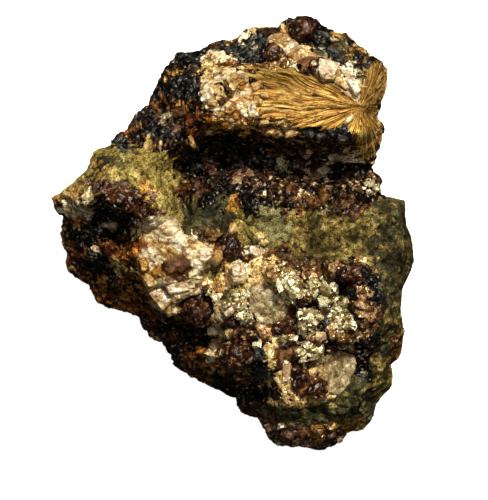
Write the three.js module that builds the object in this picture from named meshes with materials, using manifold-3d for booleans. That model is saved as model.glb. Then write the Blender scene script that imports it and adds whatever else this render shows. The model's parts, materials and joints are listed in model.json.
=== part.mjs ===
// A hand specimen of arsenopyrite in skarn: a broken lump of olive-grey garnet-pyroxene rock that lies on its flat
// back. Its face carries a radiating spray of tan fibres, white calcite, grey quartz, red-brown garnet crystals and
// a brassy crust of grown-together arsenopyrite crystals. Millimetres, +Z up, origin at the middle of the footprint.
//
// The rock face is a height over the plan: tilted blocks, cut by grooves, roughened by small chipped facets, and
// held down to a rim that follows the plan outline. Below the rim, broken walls run in to a flat foot. Every mineral
// sits in a pocket that is cut in what surrounds it, a hair wider than the mineral itself.
import * as THREE from 'three';
import { ConvexGeometry } from 'three/addons/geometries/ConvexGeometry.js';
import { ConvexHull } from 'three/addons/math/ConvexHull.js';
import { mergeVertices } from 'three/addons/utils/BufferGeometryUtils.js';
import Module from 'manifold-3d';

const wasm = await Module();
wasm.setup();

// ---------------------------------------------------------------- driving dimensions

const SEAT_GAP = 0.3; // clearance between a mineral and its pocket
const FACE_STEP = 1.8; // spacing of the face's facets
const RIM_STEP = 1.8; // spacing along the rim
const KEEP_OFF_RIM = 1.05; // how far face points stay from the rim
const WALL_RINGS = 5; // rows of facets between the rim and the foot
const WALL_LEAN = 4.2; // how far the walls run in on their way down
const WALL_ROUGHNESS = 1.8;
const WALL_WAVER = 1.5; // how far the wall's facet rows stray up and down
const FOOT_BEVEL = 2.2; // height of the broken edge round the flat foot
const FOOT_SHARE = 0.8; // the flat foot's outline, as a share of the rim's
const MEAN_RADIUS = 36; // of the rim, to measure the wall's facets round the rock
const BED_TOP = 16; // the rock level that the blocks stand on
const BED_RISE = 0.9;
const COARSE_CHIP = { cell: 5.6, height: 1.7 };
const FINE_CHIP = { cell: 2.9, height: 0.85 };
const POCKET_REACH = 60; // a pocket's cutter runs this far up, clear of everything
const CORNER_ALLOWANCE = 1.15; // widens a pocket's outline a little more, so that slanted sides keep the gap

// The widest line of the rock in plan: x, y, height of the rim there, and how steeply the face climbs inward.
const RIM = [
  [33.8, 0, 16.5, 2], [32.8, 2.3, 16, 2], [32.9, 6.7, 15, 2], [28.1, 7.5, 15, 1.8], [28.5, 10.8, 15, 1.5],
  [26.6, 12.7, 16, 1.8], [28.3, 17.8, 20, 2], [28.3, 20.9, 22, 2.2], [27.1, 22.2, 23, 2.2], [28.7, 27, 24, 1.9],
  [29.1, 31.2, 22, 1.6], [21.2, 37.9, 20, 1.5], [19.2, 38.1, 21, 1.4], [16.5, 39.4, 21, 1.5], [16.1, 40.5, 20, 1.7],
  [13, 41.1, 20, 1.9], [11.2, 40.9, 20, 1.9], [8.3, 39, 21, 1.6], [4.1, 39.2, 20, 1.3], [0, 36.7, 20, 1.3],
  [-3.4, 36.6, 18, 1.4], [-6, 34.8, 18, 1.4], [-10.2, 34.5, 16, 1.6], [-13.7, 30.4, 16, 1.6], [-15.8, 24.8, 15, 1.4],
  [-18.4, 23.2, 14, 1.1], [-20, 20.2, 14, 1.1], [-22.5, 19.1, 13, 1.2], [-23, 17.2, 14, 1.6], [-25.9, 16, 15, 1.8],
  [-27.8, 12.2, 16, 1.5], [-32.4, 8.1, 15, 1.2], [-34.4, 7.3, 15, 1], [-34, 5.2, 13, 1.2], [-32.5, 3.8, 11, 1.3],
  [-33.2, 0, 8, 1.7], [-32.1, -3.5, 6, 1.7], [-32.3, -6.7, 5, 1.4], [-27.9, -9.6, 4, 1.5], [-26.1, -13, 4, 1.5],
  [-18.2, -15.9, 4, 1.9], [-17.8, -17.7, 4, 1.7], [-13.5, -21, 4, 1.5], [-10.8, -25.7, 4.5, 1.7],
  [0.7, -31.6, 5, 1.9], [1.8, -34.1, 5, 1.9], [5, -35.4, 6, 2.4], [7.8, -40.1, 7, 2], [16.6, -41.1, 8, 1.9],
  [20.1, -40, 8, 1.8], [22.2, -37.7, 9, 1.8], [25, -37.1, 11, 1.6], [26.6, -35, 12, 1.6], [27.3, -32, 12, 1.8],
  [30.4, -28.3, 13, 1.9], [30.4, -24.8, 14, 2], [32.1, -21.6, 14, 2], [32.5, -18, 15, 2], [31.9, -13.9, 16, 2],
  [32.3, -9.9, 16, 2], [34.4, -4.8, 16.5, 2],
];

// Tilted blocks of the face: plan corners, height at `at`, lean as rise per millimetre along x and y, how steeply
// the flanks fall outside the corners, and how rough the broken top is.
const BLOCKS = [
  { // the high block that carries the spray
    corners: [[-13, 29], [-5, 35], [7, 38.5], [19.5, 37.5], [27.5, 32.5], [28.5, 25], [27.5, 17.5], [18.5, 19],
      [5.5, 20], [-6, 19], [-12, 23]],
    at: [10, 26], height: 30, lean: [0.03, -0.12], flank: 2.4, rough: 0.55,
  },
  { // its knobbly crown
    corners: [[2.5, 36.5], [9.5, 40], [16, 40.5], [26.5, 33], [24.5, 27], [17, 29.5], [9, 31], [3.5, 31.5]],
    at: [14, 34], height: 31.5, lean: [0, -0.3], flank: 1.3, rough: 1,
  },
  { // the dark shoulder on its left
    corners: [[-23, 17.5], [-15.5, 27.5], [-12, 33.5], [-5, 35], [-5, 19.5], [-12, 15.5], [-21.5, 15]],
    at: [-11, 25], height: 26, lean: [0.42, 0.1], flank: 1.3, rough: 1.2,
  },
  { // the granular slope under the high block
    corners: [[-3.5, 9.5], [18.5, 10.5], [28.5, 12.5], [29, 7], [24.5, 4], [13, 3], [5.5, 4], [-1, 5]],
    at: [14, 6], height: 20.5, lean: [0.02, -0.35], flank: 1.1, rough: 0.9,
  },
  { // the smooth olive step
    corners: [[3.5, 3], [13, 4], [28, 6], [25.5, -5.5], [18.5, -5.5], [10, -5.5], [5.5, -1.5]],
    at: [16, 0], height: 21.5, lean: [0.05, -0.1], flank: 1.2, rough: 0.3,
  },
  { // the smooth strip down the right edge
    corners: [[27.5, 6], [33.5, 7], [34.5, -3.5], [32.5, -13], [32, -18.5], [30.5, -26], [24, -35.5], [19, -30.5],
      [24.5, -20.5], [26.5, -5.5]],
    at: [29, -10], height: 19.5, lean: [-0.28, 0.09], flank: 1.1, rough: 0.3,
  },
  { // the smooth apron at the lower end
    corners: [[5.5, -31], [19, -30.5], [26, -31], [24.5, -36.5], [18.5, -37.5], [7.5, -36.5], [5.5, -35]],
    at: [15, -33], height: 17.2, lean: [0.02, 0.8], flank: 1.5, rough: 0.25,
  },
  { // the rough mound that carries the arsenopyrite
    corners: [[1.5, -5.5], [10, -5], [25, -5], [27, -13], [26.5, -18.5], [18.5, -21.5], [18, -30], [13, -31.5],
      [6.5, -31], [5.5, -26.5], [-3.5, -26.5], [-4.5, -18.5], [0.5, -11]],
    at: [13, -15], height: 22.5, lean: [0.05, 0.06], flank: 1.6, rough: 0.7,
  },
  { // the olive-yellow ridge out to the left tip
    corners: [[-26, 15.5], [-15.5, 16], [-10.5, 13.5], [-13, 5], [-15.5, 3], [-23, 4.5], [-31, 6], [-34, 7]],
    at: [-16, 9], height: 26, lean: [0.3, -0.22], flank: 3.2, rough: 0.45,
  },
  { // the white shelf below that ridge
    corners: [[-20, 3.5], [-14, 5], [-8.5, 4], [-3, -1], [-3.5, -5.5], [-7, -11], [-10.5, -15], [-15.5, -14.5],
      [-20, -5.5]],
    at: [-12, -4], height: 22.5, lean: [0.12, 0.14], flank: 1.5, rough: 0.7,
  },
  { // the brown knob below the white shelf
    corners: [[-10.5, -11.5], [-3.5, -10], [-2, -16.5], [-6.5, -18], [-11.5, -16.5]],
    at: [-7, -14], height: 22.5, lean: [0.05, 0.25], flank: 2, rough: 0.7,
  },
  { // the stained shelf above the lower left wall
    corners: [[-32.5, 5], [-20, 4], [-21, -5.5], [-12.5, -16], [-15.5, -16], [-25.5, -9], [-31, -5]],
    at: [-22, -3], height: 16, lean: [0.22, 0.1], flank: 1, rough: 0.9,
  },
  { // the smooth floor of the valley
    corners: [[-12, 10], [1.5, 8], [4.5, 3], [5.5, -5.5], [-3, -1.5], [-9, 4]],
    at: [-1, 3], height: 19.5, lean: [-0.02, -0.12], flank: 1, rough: 0.3,
  },
  { // the dark knob in the valley
    corners: [[-8, 4.5], [-5, 6], [-2, 4.5], [-2.5, 1], [-6, 0], [-8, 1.5]],
    at: [-5, 3], height: 22.3, lean: [0, -0.2], flank: 1.1, rough: 0.5,
  },
  { // the low ground between the brown knob and the lower left wall
    corners: [[-9.5, -18.5], [-3.5, -17.5], [5.5, -26.5], [6, -30.5], [-3.5, -26.5], [-8, -22.5]],
    at: [-1, -23], height: 17.5, lean: [0.2, 0.1], flank: 1.2, rough: 0.9,
  },
];

// Grooves and hollows: a path in plan, the height of the floor, its half width and how steeply its sides climb.
const GROOVES = [
  { path: [[-9, 11.5], [-4, 13.5], [3, 14.5], [12, 13.5], [20, 12], [26, 12]], floor: 14.5, half: 1.6, side: 3.4 },
  { path: [[-5, 17.5], [3, 17]], floor: 18, half: 0.8, side: 4 },
  { path: [[-24.5, 3.4], [-22.5, 1.6], [-21, 0.2]], floor: 11, half: 0.9, side: 5 },
  { path: [[-19.6, -9], [-18.2, -11.4]], floor: 11.5, half: 0.7, side: 5 },
  { path: [[12.8, -12.6], [16, -12.2]], floor: 17.5, half: 0.6, side: 4.5 },
  { path: [[10.2, -14], [12.4, -14.8]], floor: 18.5, half: 0.4, side: 4.5 },
  { path: [[19, -9.8], [22.4, -10.8]], floor: 18, half: 0.6, side: 4.5 },
  { path: [[11.2, -18.6], [12.4, -19]], floor: 19, half: 0.3, side: 4.5 },
  { path: [[-12.5, -18.2], [-8.5, -18.4], [-5, -19.4]], floor: 8.5, half: 0.9, side: 3.6 },
  { path: [[-13.8, 28.6], [-10, 27.6]], floor: 19, half: 0.3, side: 3 },
  { path: [[-0.5, -27.2], [4, -29.8]], floor: 8.5, half: 1, side: 3.2 },
  { path: [[-8.6, 7.4], [-8.8, 4]], floor: 16, half: 0.5, side: 3.2 },
];

// Rounded lumps of the rock itself: x, y, radius, height. The dark amphibole knots are the larger ones.
const LUMPS = [
  [-8, 32.3, 3.4, 2.2], [-10, 26.5, 4, 2], [-16.5, 20, 3, 1.7], [-3.5, 27.8, 3, 1], [4.5, 35, 3, 1.4],
  [6.8, 31.2, 2.6, 1.3], [20, 33.6, 3.2, 1.6], [23.6, 30.4, 2.6, 1.3], [17, 38.2, 2.4, 1.2], [-21, 16.8, 2.4, 1.2],
  [-7.5, 14.4, 2, 1], [-4.5, 11, 2, 1.2], [4, 12, 1.8, 1.3], [9.5, 9.5, 2.2, 1], [26.5, 10, 2.6, 1.6],
  [21, 9, 1.8, 1], [-29.5, 5.6, 2.4, 1.4], [-20.5, 7.2, 3, 1.4], [-16.5, 6, 3, 1.3], [-30, -1, 2.4, 1.4],
  [-27, -6, 2, 1.1], [-24, -9.5, 2.2, 1.4], [-20.5, -11.4, 2.4, 1.3], [-16.5, -13.5, 2.2, 1.2], [-14.5, -17.5, 2.2, 1],
  [-9.2, -23, 2.2, 1.1], [-6, -25.5, 2.2, 1.2], [6, -22.5, 2.6, 1.1], [9.5, -38.6, 2.2, 1.2], [13.5, -39.2, 2, 1.3],
  [18, -38.8, 2.2, 1.3], [24.6, -21.5, 2.8, 0.9], [29.5, -17, 3, 0.6], [30, -2, 3, 0.6],
];

// The spray of fibres: where its fibres meet, how far they reach at a few bearings (degrees, reach), and its form.
const SPRAY = {
  centre: [22.7, 22.9],
  reach: [[0, 3.2], [35, 4.6], [58, 6.6], [80, 4.2], [105, 3.8], [128, 5.4], [145, 11.4], [158, 20.2], [166, 20.9],
    [176, 19.4], [187, 17.4], [197, 13.2], [215, 8.4], [240, 6.8], [262, 5.6], [285, 6.2], [305, 6.4], [330, 4.2],
    [360, 3.2]],
  fibres: 44, // ridges and the furrows between them
  stations: [0.12, 0.3, 0.5, 0.72, 0.9],
  crest: 0.9,
  ridge: 0.34,
  raggedTips: 0.1,
  depth: 1.2,
};

// Masses set in the face: plan outline, how proud they stand, how deep they go, and their own broken relief.
const MASSES = {
  quartz_centre: {
    outline: [[3.9, -9.8], [5.8, -9.4], [7.9, -10.2], [9.9, -12.6], [10.3, -14.7], [7.8, -16.4], [4.9, -15.9],
      [3.4, -13.2]],
    raise: 0.7, depth: 2.2, step: 1.9, chip: { cell: 4.5, height: 0.8 },
  },
  quartz_lower: {
    outline: [[17.6, -22.6], [20.4, -21.6], [23, -22.4], [22.9, -25.2], [21.4, -27.8], [19.7, -29.6], [17.8, -28.8],
      [17.2, -25.6]],
    raise: 0.7, depth: 2.2, step: 1.9, chip: { cell: 4.5, height: 0.8 },
  },
  calcite_ledge: {
    outline: [[-15.7, 3.6], [-12.6, 4.6], [-10.4, 2], [-9, -1], [-6, -1.4], [-3.4, -3], [-3.2, -5.8], [-5.4, -7.6],
      [-6.6, -10], [-9, -11.2], [-10.8, -14.6], [-13.9, -14.3], [-16, -12], [-15.6, -8.4], [-17.2, -4.6],
      [-16.8, -0.8]],
    raise: 1.1, depth: 2.6, step: 1.8, chip: { cell: 3.8, height: 2 },
  },
  calcite_upper: {
    outline: [[-5, 29.2], [-2.6, 31.2], [0, 30.8], [2.4, 29.6], [3.7, 26.6], [4.4, 23.4], [3.3, 21], [0.6, 20.5],
      [-2, 21.8], [-4.4, 23.6], [-6.2, 25.8]],
    raise: 1.2, depth: 2.4, step: 1.7, chip: { cell: 3.4, height: 2 },
  },
  calcite_vein: {
    outline: [[5.6, 38], [8.2, 38.6], [10.4, 36.8], [12.8, 34.2], [16.2, 32.7], [19.3, 31.2], [19.6, 28.6],
      [17, 28.2], [13.6, 30.6], [10.4, 32.9], [7.4, 35.4]],
    raise: 0.9, depth: 2.2, step: 1.6, chip: { cell: 3, height: 1.6 },
  },
  calcite_grain: {
    outline: [[-1.2, -5.6], [1.4, -5], [2.5, -7], [1.5, -8.6], [-0.8, -8.4]],
    raise: 1, depth: 1.8, step: 1.6, chip: { cell: 2.6, height: 0.9 },
  },
  calcite_patch: {
    outline: [[-4.6, -13.6], [-2.2, -13.2], [0.4, -13.8], [0.6, -16], [-0.6, -18.6], [-3, -18.8], [-4.4, -16.4]],
    raise: 0.8, depth: 2, step: 1.7, chip: { cell: 2.8, height: 1.1 },
  },
};

// Crusts of grown-together arsenopyrite: plan outline, and how many crystals stand on how fine a base.
const CRUSTS = {
  arsenopyrite_crust: {
    outline: [[5.4, -6.6], [8.4, -5], [11.6, -6.4], [15, -7.6], [18, -5.8], [22.6, -5.4], [25.6, -7.8], [27.2, -12.2],
      [26.9, -16.6], [24.4, -18.8], [20.8, -19.8], [17.2, -20.6], [16.4, -23.8], [13.2, -24.4], [11.4, -21.6],
      [12.8, -19.4], [11.2, -16.6], [12.6, -12.6], [9.6, -11.4], [7, -9.4]],
    raise: 0.3, depth: 2, step: 2.8, chip: { cell: 3, height: 0.9 }, spacing: 3.3, size: [2.7, 4.6], seed: 31,
  },
  arsenopyrite_left: {
    outline: [[-2, -10.6], [1.2, -10.2], [2.6, -12.4], [3.4, -15.8], [1.8, -17], [1.2, -14.2], [-0.4, -12.6]],
    raise: 0.3, depth: 1.8, step: 1.8, chip: { cell: 3, height: 0.7 }, spacing: 2.4, size: [2.2, 3], seed: 47,
  },
};

// Arsenopyrite crystal, as shares of its size: a lozenge prism with chisel ends, how far inside the crust's edge it
// stays, and how high its centre stands.
const CRYSTAL = { halfWidth: 0.5, halfBreadth: 0.4, shoulder: 0.34, tip: 0.62, inset: 0.2, proud: 0.25 };

// Garnets: plan place, mean radius, stretch along the longest way, its bearing in degrees, and how proud it stands.
const GARNETS = {
  garnet_crown: { at: [13.2, 38], radius: 2.8, stretch: 1.1, bearing: 20, proud: 0.5 },
  garnet_crown_left: { at: [7.7, 33.4], radius: 1.8, stretch: 1, bearing: 70, proud: 0.8 },
  garnet_ridge: { at: [-20.4, 6.4], radius: 2.6, stretch: 1.5, bearing: -20, proud: 0.4 },
  garnet_left: { at: [-16.4, 4.6], radius: 1.9, stretch: 1.1, bearing: 60, proud: 0.2 },
  garnet_valley: { at: [-0.7, -2.1], radius: 2.6, stretch: 1, bearing: 10, proud: 1.2 },
  garnet_ledge: { at: [-6.4, -13.4], radius: 3.4, stretch: 1.25, bearing: -60, proud: 0.6 },
  garnet_lower: { at: [1.1, -22.4], radius: 3.3, stretch: 1.05, bearing: 30, proud: 1 },
  garnet_step: { at: [9.4, -17.4], radius: 1.7, stretch: 1.6, bearing: 20, proud: 0.6 },
  garnet_foot: { at: [12.6, -26.6], radius: 2.7, stretch: 1.35, bearing: -80, proud: 0.8 },
  garnet_foot_right: { at: [16, -28.6], radius: 2.1, stretch: 1.1, bearing: 15, proud: 0.7 },
};

// The garnets' form, a trapezohedron with 24 faces: one corner of each kind, as shares of the radius.
const GARNET_CORNERS = [[1, 0, 0], [2 / 3, 2 / 3, 0], [1 / 2, 1 / 2, 1 / 2]];
const OCTANTS = [1, -1].flatMap((a) => [1, -1].flatMap((b) => [1, -1].map((c) => [a, b, c])));
const GARNET_SINK = 0.35; // share of the radius that a garnet's centre lies below the height it stands proud by

// Starting points of the random numbers, one for each use.
const SEED = {
  face: 5, coarse: 11, fine: 23, wallCoarse: 41, wallFine: 53, waver: 71, spray: 3, garnets: 60, masses: 80,
};

// ---------------------------------------------------------------- numbers and plan geometry

/** Repeatable random numbers from 0 to 1. */
function randomNumbers(seed) {
  let state = seed >>> 0;
  return () => {
    state = (state + 0x6d2b79f5) >>> 0;
    let t = Math.imul(state ^ (state >>> 15), 1 | state);
    t = (t + Math.imul(t ^ (t >>> 7), 61 | t)) ^ t;
    return ((t ^ (t >>> 14)) >>> 0) / 4294967296;
  };
}

/** A repeatable number from 0 to 1 for a cell of a grid. */
function cellNumber(i, j, seed) {
  return randomNumbers(Math.imul(i, 73856093) ^ Math.imul(j, 19349663) ^ Math.imul(seed, 83492791))();
}

/** Broken-rock relief in mm: every cell is a small flat facet with its own height and lean. */
function chips(x, y, { cell, height }, seed) {
  const column = Math.floor(x / cell);
  const row = Math.floor(y / cell);
  let nearest = Infinity;
  let relief = 0;
  for (let i = column - 1; i <= column + 1; i++) {
    for (let j = row - 1; j <= row + 1; j++) {
      const dx = x - (i + cellNumber(i, j, seed)) * cell;
      const dy = y - (j + cellNumber(i, j, seed + 1)) * cell;
      const away = dx * dx + dy * dy;
      if (away < nearest) {
        nearest = away;
        relief = cellNumber(i, j, seed + 2) - 0.5
          + ((cellNumber(i, j, seed + 3) - 0.5) * dx + (cellNumber(i, j, seed + 4) - 0.5) * dy) / cell;
      }
    }
  }
  return relief * height;
}

/** The values that lie a share of the way from one list to another. */
function between(a, b, share) {
  return a.map((value, axis) => THREE.MathUtils.lerp(value, b[axis], share));
}

/** Distance from a point to a stretch of line, and how far along that stretch the nearest point is. */
function toStretch(x, y, a, b) {
  const dx = b[0] - a[0];
  const dy = b[1] - a[1];
  const along = THREE.MathUtils.clamp(((x - a[0]) * dx + (y - a[1]) * dy) / (dx * dx + dy * dy), 0, 1);
  return { distance: Math.hypot(x - a[0] - along * dx, y - a[1] - along * dy), along };
}

/** Whether a point lies inside a closed plan outline. */
function isInside(x, y, outline) {
  let inside = false;
  for (let i = 0, j = outline.length - 1; i < outline.length; j = i++) {
    const [xi, yi] = outline[i];
    const [xj, yj] = outline[j];
    if ((yi > y) !== (yj > y) && x < ((xj - xi) * (y - yi)) / (yj - yi) + xi) inside = !inside;
  }
  return inside;
}

/** Distance to a closed outline, positive inside, and the outline's values at the nearest point. */
function toOutline(x, y, outline) {
  let best = { distance: Infinity };
  outline.forEach((a, i) => {
    const b = outline[(i + 1) % outline.length];
    const { distance, along } = toStretch(x, y, a, b);
    if (distance < best.distance) best = { distance, values: between(a, b, along) };
  });
  return { ...best, distance: isInside(x, y, outline) ? best.distance : -best.distance };
}

/** The outline walked round counter-clockwise in steps of about `step`, its corners kept. */
function resample(outline, step) {
  const area = THREE.ShapeUtils.area(outline.map(([x, y]) => new THREE.Vector2(x, y)));
  const corners = area > 0 ? outline : outline.toReversed();
  return corners.flatMap((a, i) => {
    const b = corners[(i + 1) % corners.length];
    const pieces = Math.max(1, Math.round(Math.hypot(b[0] - a[0], b[1] - a[1]) / step));
    return Array.from({ length: pieces }, (_, k) => between(a, b, k / pieces));
  });
}

/** Points on a jittered hexagonal grid that lie inside an outline and `clear` of it. */
function gridInside(outline, step, clear, seed) {
  const random = randomNumbers(seed);
  const points = [];
  const box = new THREE.Box2().setFromPoints(outline.map(([x, y]) => new THREE.Vector2(x, y)));
  for (let row = 0, y = box.min.y; y < box.max.y; row++, y += step * 0.866) {
    for (let x = box.min.x + (row % 2) * step * 0.5; x < box.max.x; x += step) {
      const px = x + (random() - 0.5) * step * 0.5;
      const py = y + (random() - 0.5) * step * 0.5;
      if (toOutline(px, py, outline).distance > clear) points.push([px, py]);
    }
  }
  return points;
}

/** Delaunay triangles over plan points, kept where they lie inside the outline, counter-clockwise. */
function triangulate(points, outline) {
  const lifted = points.map(([x, y]) => new THREE.Vector3(x, y, x * x + y * y));
  const index = new Map(lifted.map((point, i) => [point, i]));
  const triangles = [];
  for (const face of new ConvexHull().setFromPoints(lifted).faces) {
    if (face.normal.z >= 0) continue;
    const [a, b, c] = [face.edge, face.edge.next, face.edge.prev].map((edge) => index.get(edge.head().point));
    const x = (points[a][0] + points[b][0] + points[c][0]) / 3;
    const y = (points[a][1] + points[b][1] + points[c][1]) / 3;
    const turn = (points[b][0] - points[a][0]) * (points[c][1] - points[a][1])
      - (points[b][1] - points[a][1]) * (points[c][0] - points[a][0]);
    if (Math.abs(turn) > 1e-6 && isInside(x, y, outline)) triangles.push(turn > 0 ? [a, b, c] : [a, c, b]);
  }
  return triangles;
}

// ---------------------------------------------------------------- the rock face

/** Height of the rock face over the plan without its small facets, and how rough the face is there. */
function groundAt(x, y) {
  const { distance: inward, values: [, , rimHeight, climb] } = toOutline(x, y, RIM);
  let height = Math.min(BED_TOP, rimHeight + BED_RISE * inward);
  let rough = 1;
  for (const block of BLOCKS) {
    const outside = Math.max(0, -toOutline(x, y, block.corners).distance);
    const top = block.height + block.lean[0] * (x - block.at[0]) + block.lean[1] * (y - block.at[1]);
    if (top - block.flank * outside > height) {
      height = top - block.flank * outside;
      rough = outside > 0 ? 1 : block.rough;
    }
  }
  for (const { path, floor, half, side } of GROOVES) {
    const away = Math.min(...path.slice(1).map((point, i) => toStretch(x, y, path[i], point).distance));
    height = Math.min(height, floor + side * Math.max(0, away - half));
  }
  for (const [lumpX, lumpY, radius, rise] of LUMPS) {
    const away = Math.hypot(x - lumpX, y - lumpY) / radius;
    if (away < 1) height += rise * Math.sqrt(1 - away * away);
  }
  return { height: Math.min(height, rimHeight + climb * Math.max(0, inward)), rough };
}

/** Height of the rock face over the plan, before any pocket. */
function faceHeight(x, y) {
  const { height, rough } = groundAt(x, y);
  return height + rough * (chips(x, y, COARSE_CHIP, SEED.coarse) + chips(x, y, FINE_CHIP, SEED.fine));
}

/** A closed geometry: a top face over the first ring, walls from ring to ring, and a flat face in the last. */
function closedShell(rings, topInside) {
  const count = rings[0].length;
  const points = [...rings.flat(), ...topInside];
  const triangles = triangulate([...rings[0], ...topInside], rings[0])
    .map((corners) => corners.map((i) => (i < count ? i : i + (rings.length - 1) * count)));
  for (let k = 0; k + 1 < rings.length; k++) {
    for (let i = 0; i < count; i++) {
      const [a, b] = [k * count + i, k * count + ((i + 1) % count)];
      const [c, d] = [a + count, b + count];
      if ((i + k) % 2) triangles.push([a, c, b], [b, c, d]);
      else triangles.push([a, c, d], [a, d, b]);
    }
  }
  const last = (rings.length - 1) * count;
  const bottom = THREE.ShapeUtils.triangulateShape(rings.at(-1).map(([x, y]) => new THREE.Vector2(x, y)), []);
  triangles.push(...bottom.map(([a, b, c]) => [c + last, b + last, a + last]));
  return new THREE.BufferGeometry()
    .setAttribute('position', new THREE.Float32BufferAttribute(points.flat(), 3))
    .setIndex(triangles.flat());
}

/** One row of the wall's facets, a share of the way down from the rim to the foot. */
function wallRing(rim, row) {
  const down = row / WALL_RINGS;
  return rim.map(([x, y, z], i) => {
    const round = Math.atan2(y, x) * MEAN_RADIUS;
    const foot = Math.min(FOOT_BEVEL * (0.7 + 0.3 * Math.sin(round / COARSE_CHIP.cell)), z * 0.4);
    const room = (z - foot) / WALL_RINGS;
    const waver = (cellNumber(i, row, SEED.waver) - 0.5) * Math.min(WALL_WAVER, room / 2);
    const height = THREE.MathUtils.lerp(z, foot, down) + waver;
    const broken = chips(round, height, COARSE_CHIP, SEED.wallCoarse) + chips(round, height, FINE_CHIP, SEED.wallFine);
    const inward = WALL_LEAN * down ** 1.4 + WALL_ROUGHNESS * Math.abs(broken) * Math.sin(Math.PI * down * 0.85);
    const keep = 1 - inward / Math.hypot(x, y);
    return [x * keep, y * keep, height];
  });
}

/** The whole rock, with no pockets. */
function rockGeometry() {
  const rim = resample(RIM, RIM_STEP).map(([x, y, z]) => [x, y, z]);
  const walls = Array.from({ length: WALL_RINGS }, (_, row) => wallRing(rim, row + 1));
  const flat = rim.map(([x, y]) => [x * FOOT_SHARE, y * FOOT_SHARE, 0]);
  const face = gridInside(RIM, FACE_STEP, KEEP_OFF_RIM, SEED.face).map(([x, y]) => [x, y, faceHeight(x, y)]);
  return closedShell([rim, ...walls, flat], face);
}

// ---------------------------------------------------------------- solids

/** A geometry as a manifold-3d solid. */
function solidOf(geometry) {
  const bare = geometry.clone();
  for (const name of Object.keys(bare.attributes)) {
    if (name !== 'position') bare.deleteAttribute(name);
  }
  const merged = mergeVertices(bare, 1e-4);
  return new wasm.Manifold(new wasm.Mesh({
    numProp: 3,
    vertProperties: new Float32Array(merged.attributes.position.array),
    triVerts: new Uint32Array(merged.index.array),
  }));
}

/** The largest piece of a solid, without the crumbs that a cut leaves. */
function largestPiece(solid) {
  return solid.decompose().sort((a, b) => b.volume() - a.volume())[0];
}

/** A plan outline moved out by the seat gap. */
function widened(outline) {
  return outline.map(([x, y], i) => {
    const before = outline.at(i - 1);
    const after = outline[(i + 1) % outline.length];
    const along = new THREE.Vector2(after[0] - before[0], after[1] - before[1]).normalize();
    const out = SEAT_GAP * CORNER_ALLOWANCE;
    return [x + along.y * out, y - along.x * out];
  });
}

/** The cutter of a mass's pocket: its outline widened, from just below its bottom to far above the face. */
function pocketSolid(outline, floor) {
  const wide = widened(outline);
  const ring = (z) => wide.map(([x, y]) => [x, y, z]);
  return solidOf(closedShell([ring(POCKET_REACH), ring(floor - SEAT_GAP)], []));
}

/** A mass set in the face: a broken top that swells from the edge, and a flat bottom. */
function massPiece({ outline, raise, depth, step, chip }, seed) {
  const ring = resample(outline, step).map(([x, y]) => [x, y, groundAt(x, y).height]);
  const floor = Math.min(...ring.map(([, , z]) => z)) - depth;
  const inside = gridInside(outline, step, step * 0.6, seed).map(([x, y]) => {
    const swell = 1 - Math.exp(-toOutline(x, y, ring).distance / step);
    return [x, y, groundAt(x, y).height + raise * swell + chips(x, y, chip, seed)];
  });
  const bottom = ring.map(([x, y]) => [x, y, floor]);
  return { solid: solidOf(closedShell([ring, bottom], inside)), pocket: pocketSolid(ring, floor) };
}

/** How far the spray's fibres reach at a bearing in degrees. */
function sprayReach(bearing) {
  const next = SPRAY.reach.findIndex(([degrees]) => degrees >= bearing);
  if (next === 0) return SPRAY.reach[0][1];
  const [from, near] = SPRAY.reach[next - 1];
  const [to, far] = SPRAY.reach[next];
  return THREE.MathUtils.mapLinear(bearing, from, to, near, far);
}

/** The radiating spray: ridges and furrows that run from one point to ragged tips. */
function sprayPiece() {
  const random = randomNumbers(SEED.spray);
  const rays = Array.from({ length: SPRAY.fibres }, (_, i) => {
    const bearing = (360 * i) / SPRAY.fibres;
    const reach = sprayReach(bearing) * (1 - SPRAY.raggedTips * random());
    return { angle: THREE.MathUtils.degToRad(bearing), reach, rise: i % 2 ? SPRAY.ridge : -SPRAY.ridge };
  });
  const ringAt = (share) => rays.map(({ angle, reach, rise }) => {
    const x = SPRAY.centre[0] + Math.cos(angle) * reach * share;
    const y = SPRAY.centre[1] + Math.sin(angle) * reach * share;
    const relief = SPRAY.crest * (1 - share ** 3) + rise * Math.sin(Math.PI * Math.min(1, share * 1.1));
    return [x, y, groundAt(x, y).height + relief];
  });
  const tips = ringAt(1);
  const floor = Math.min(...tips.map(([, , z]) => z)) - SPRAY.depth;
  const rings = [...SPRAY.stations.map(ringAt), tips, tips.map(([x, y]) => [x, y, floor])];
  const [x, y] = SPRAY.centre;
  const knot = [x, y, groundAt(x, y).height + SPRAY.crest];
  return { solid: solidOf(closedShell(rings, [knot])), pocket: pocketSolid(tips, floor) };
}

/** The points of a convex crystal, placed. */
function placed(points, matrix) {
  return points.map((point) => new THREE.Vector3(...point).applyMatrix4(matrix));
}

/** An arsenopyrite crystal's points about its own centre, for a size of 1. */
function prismPoints() {
  const { halfWidth, halfBreadth, shoulder, tip } = CRYSTAL;
  const ends = (z) => [[halfWidth, 0, z * shoulder], [-halfWidth, 0, z * shoulder], [0, halfBreadth, z * tip],
    [0, -halfBreadth, z * tip]];
  return [...ends(1), ...ends(-1)];
}

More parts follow.
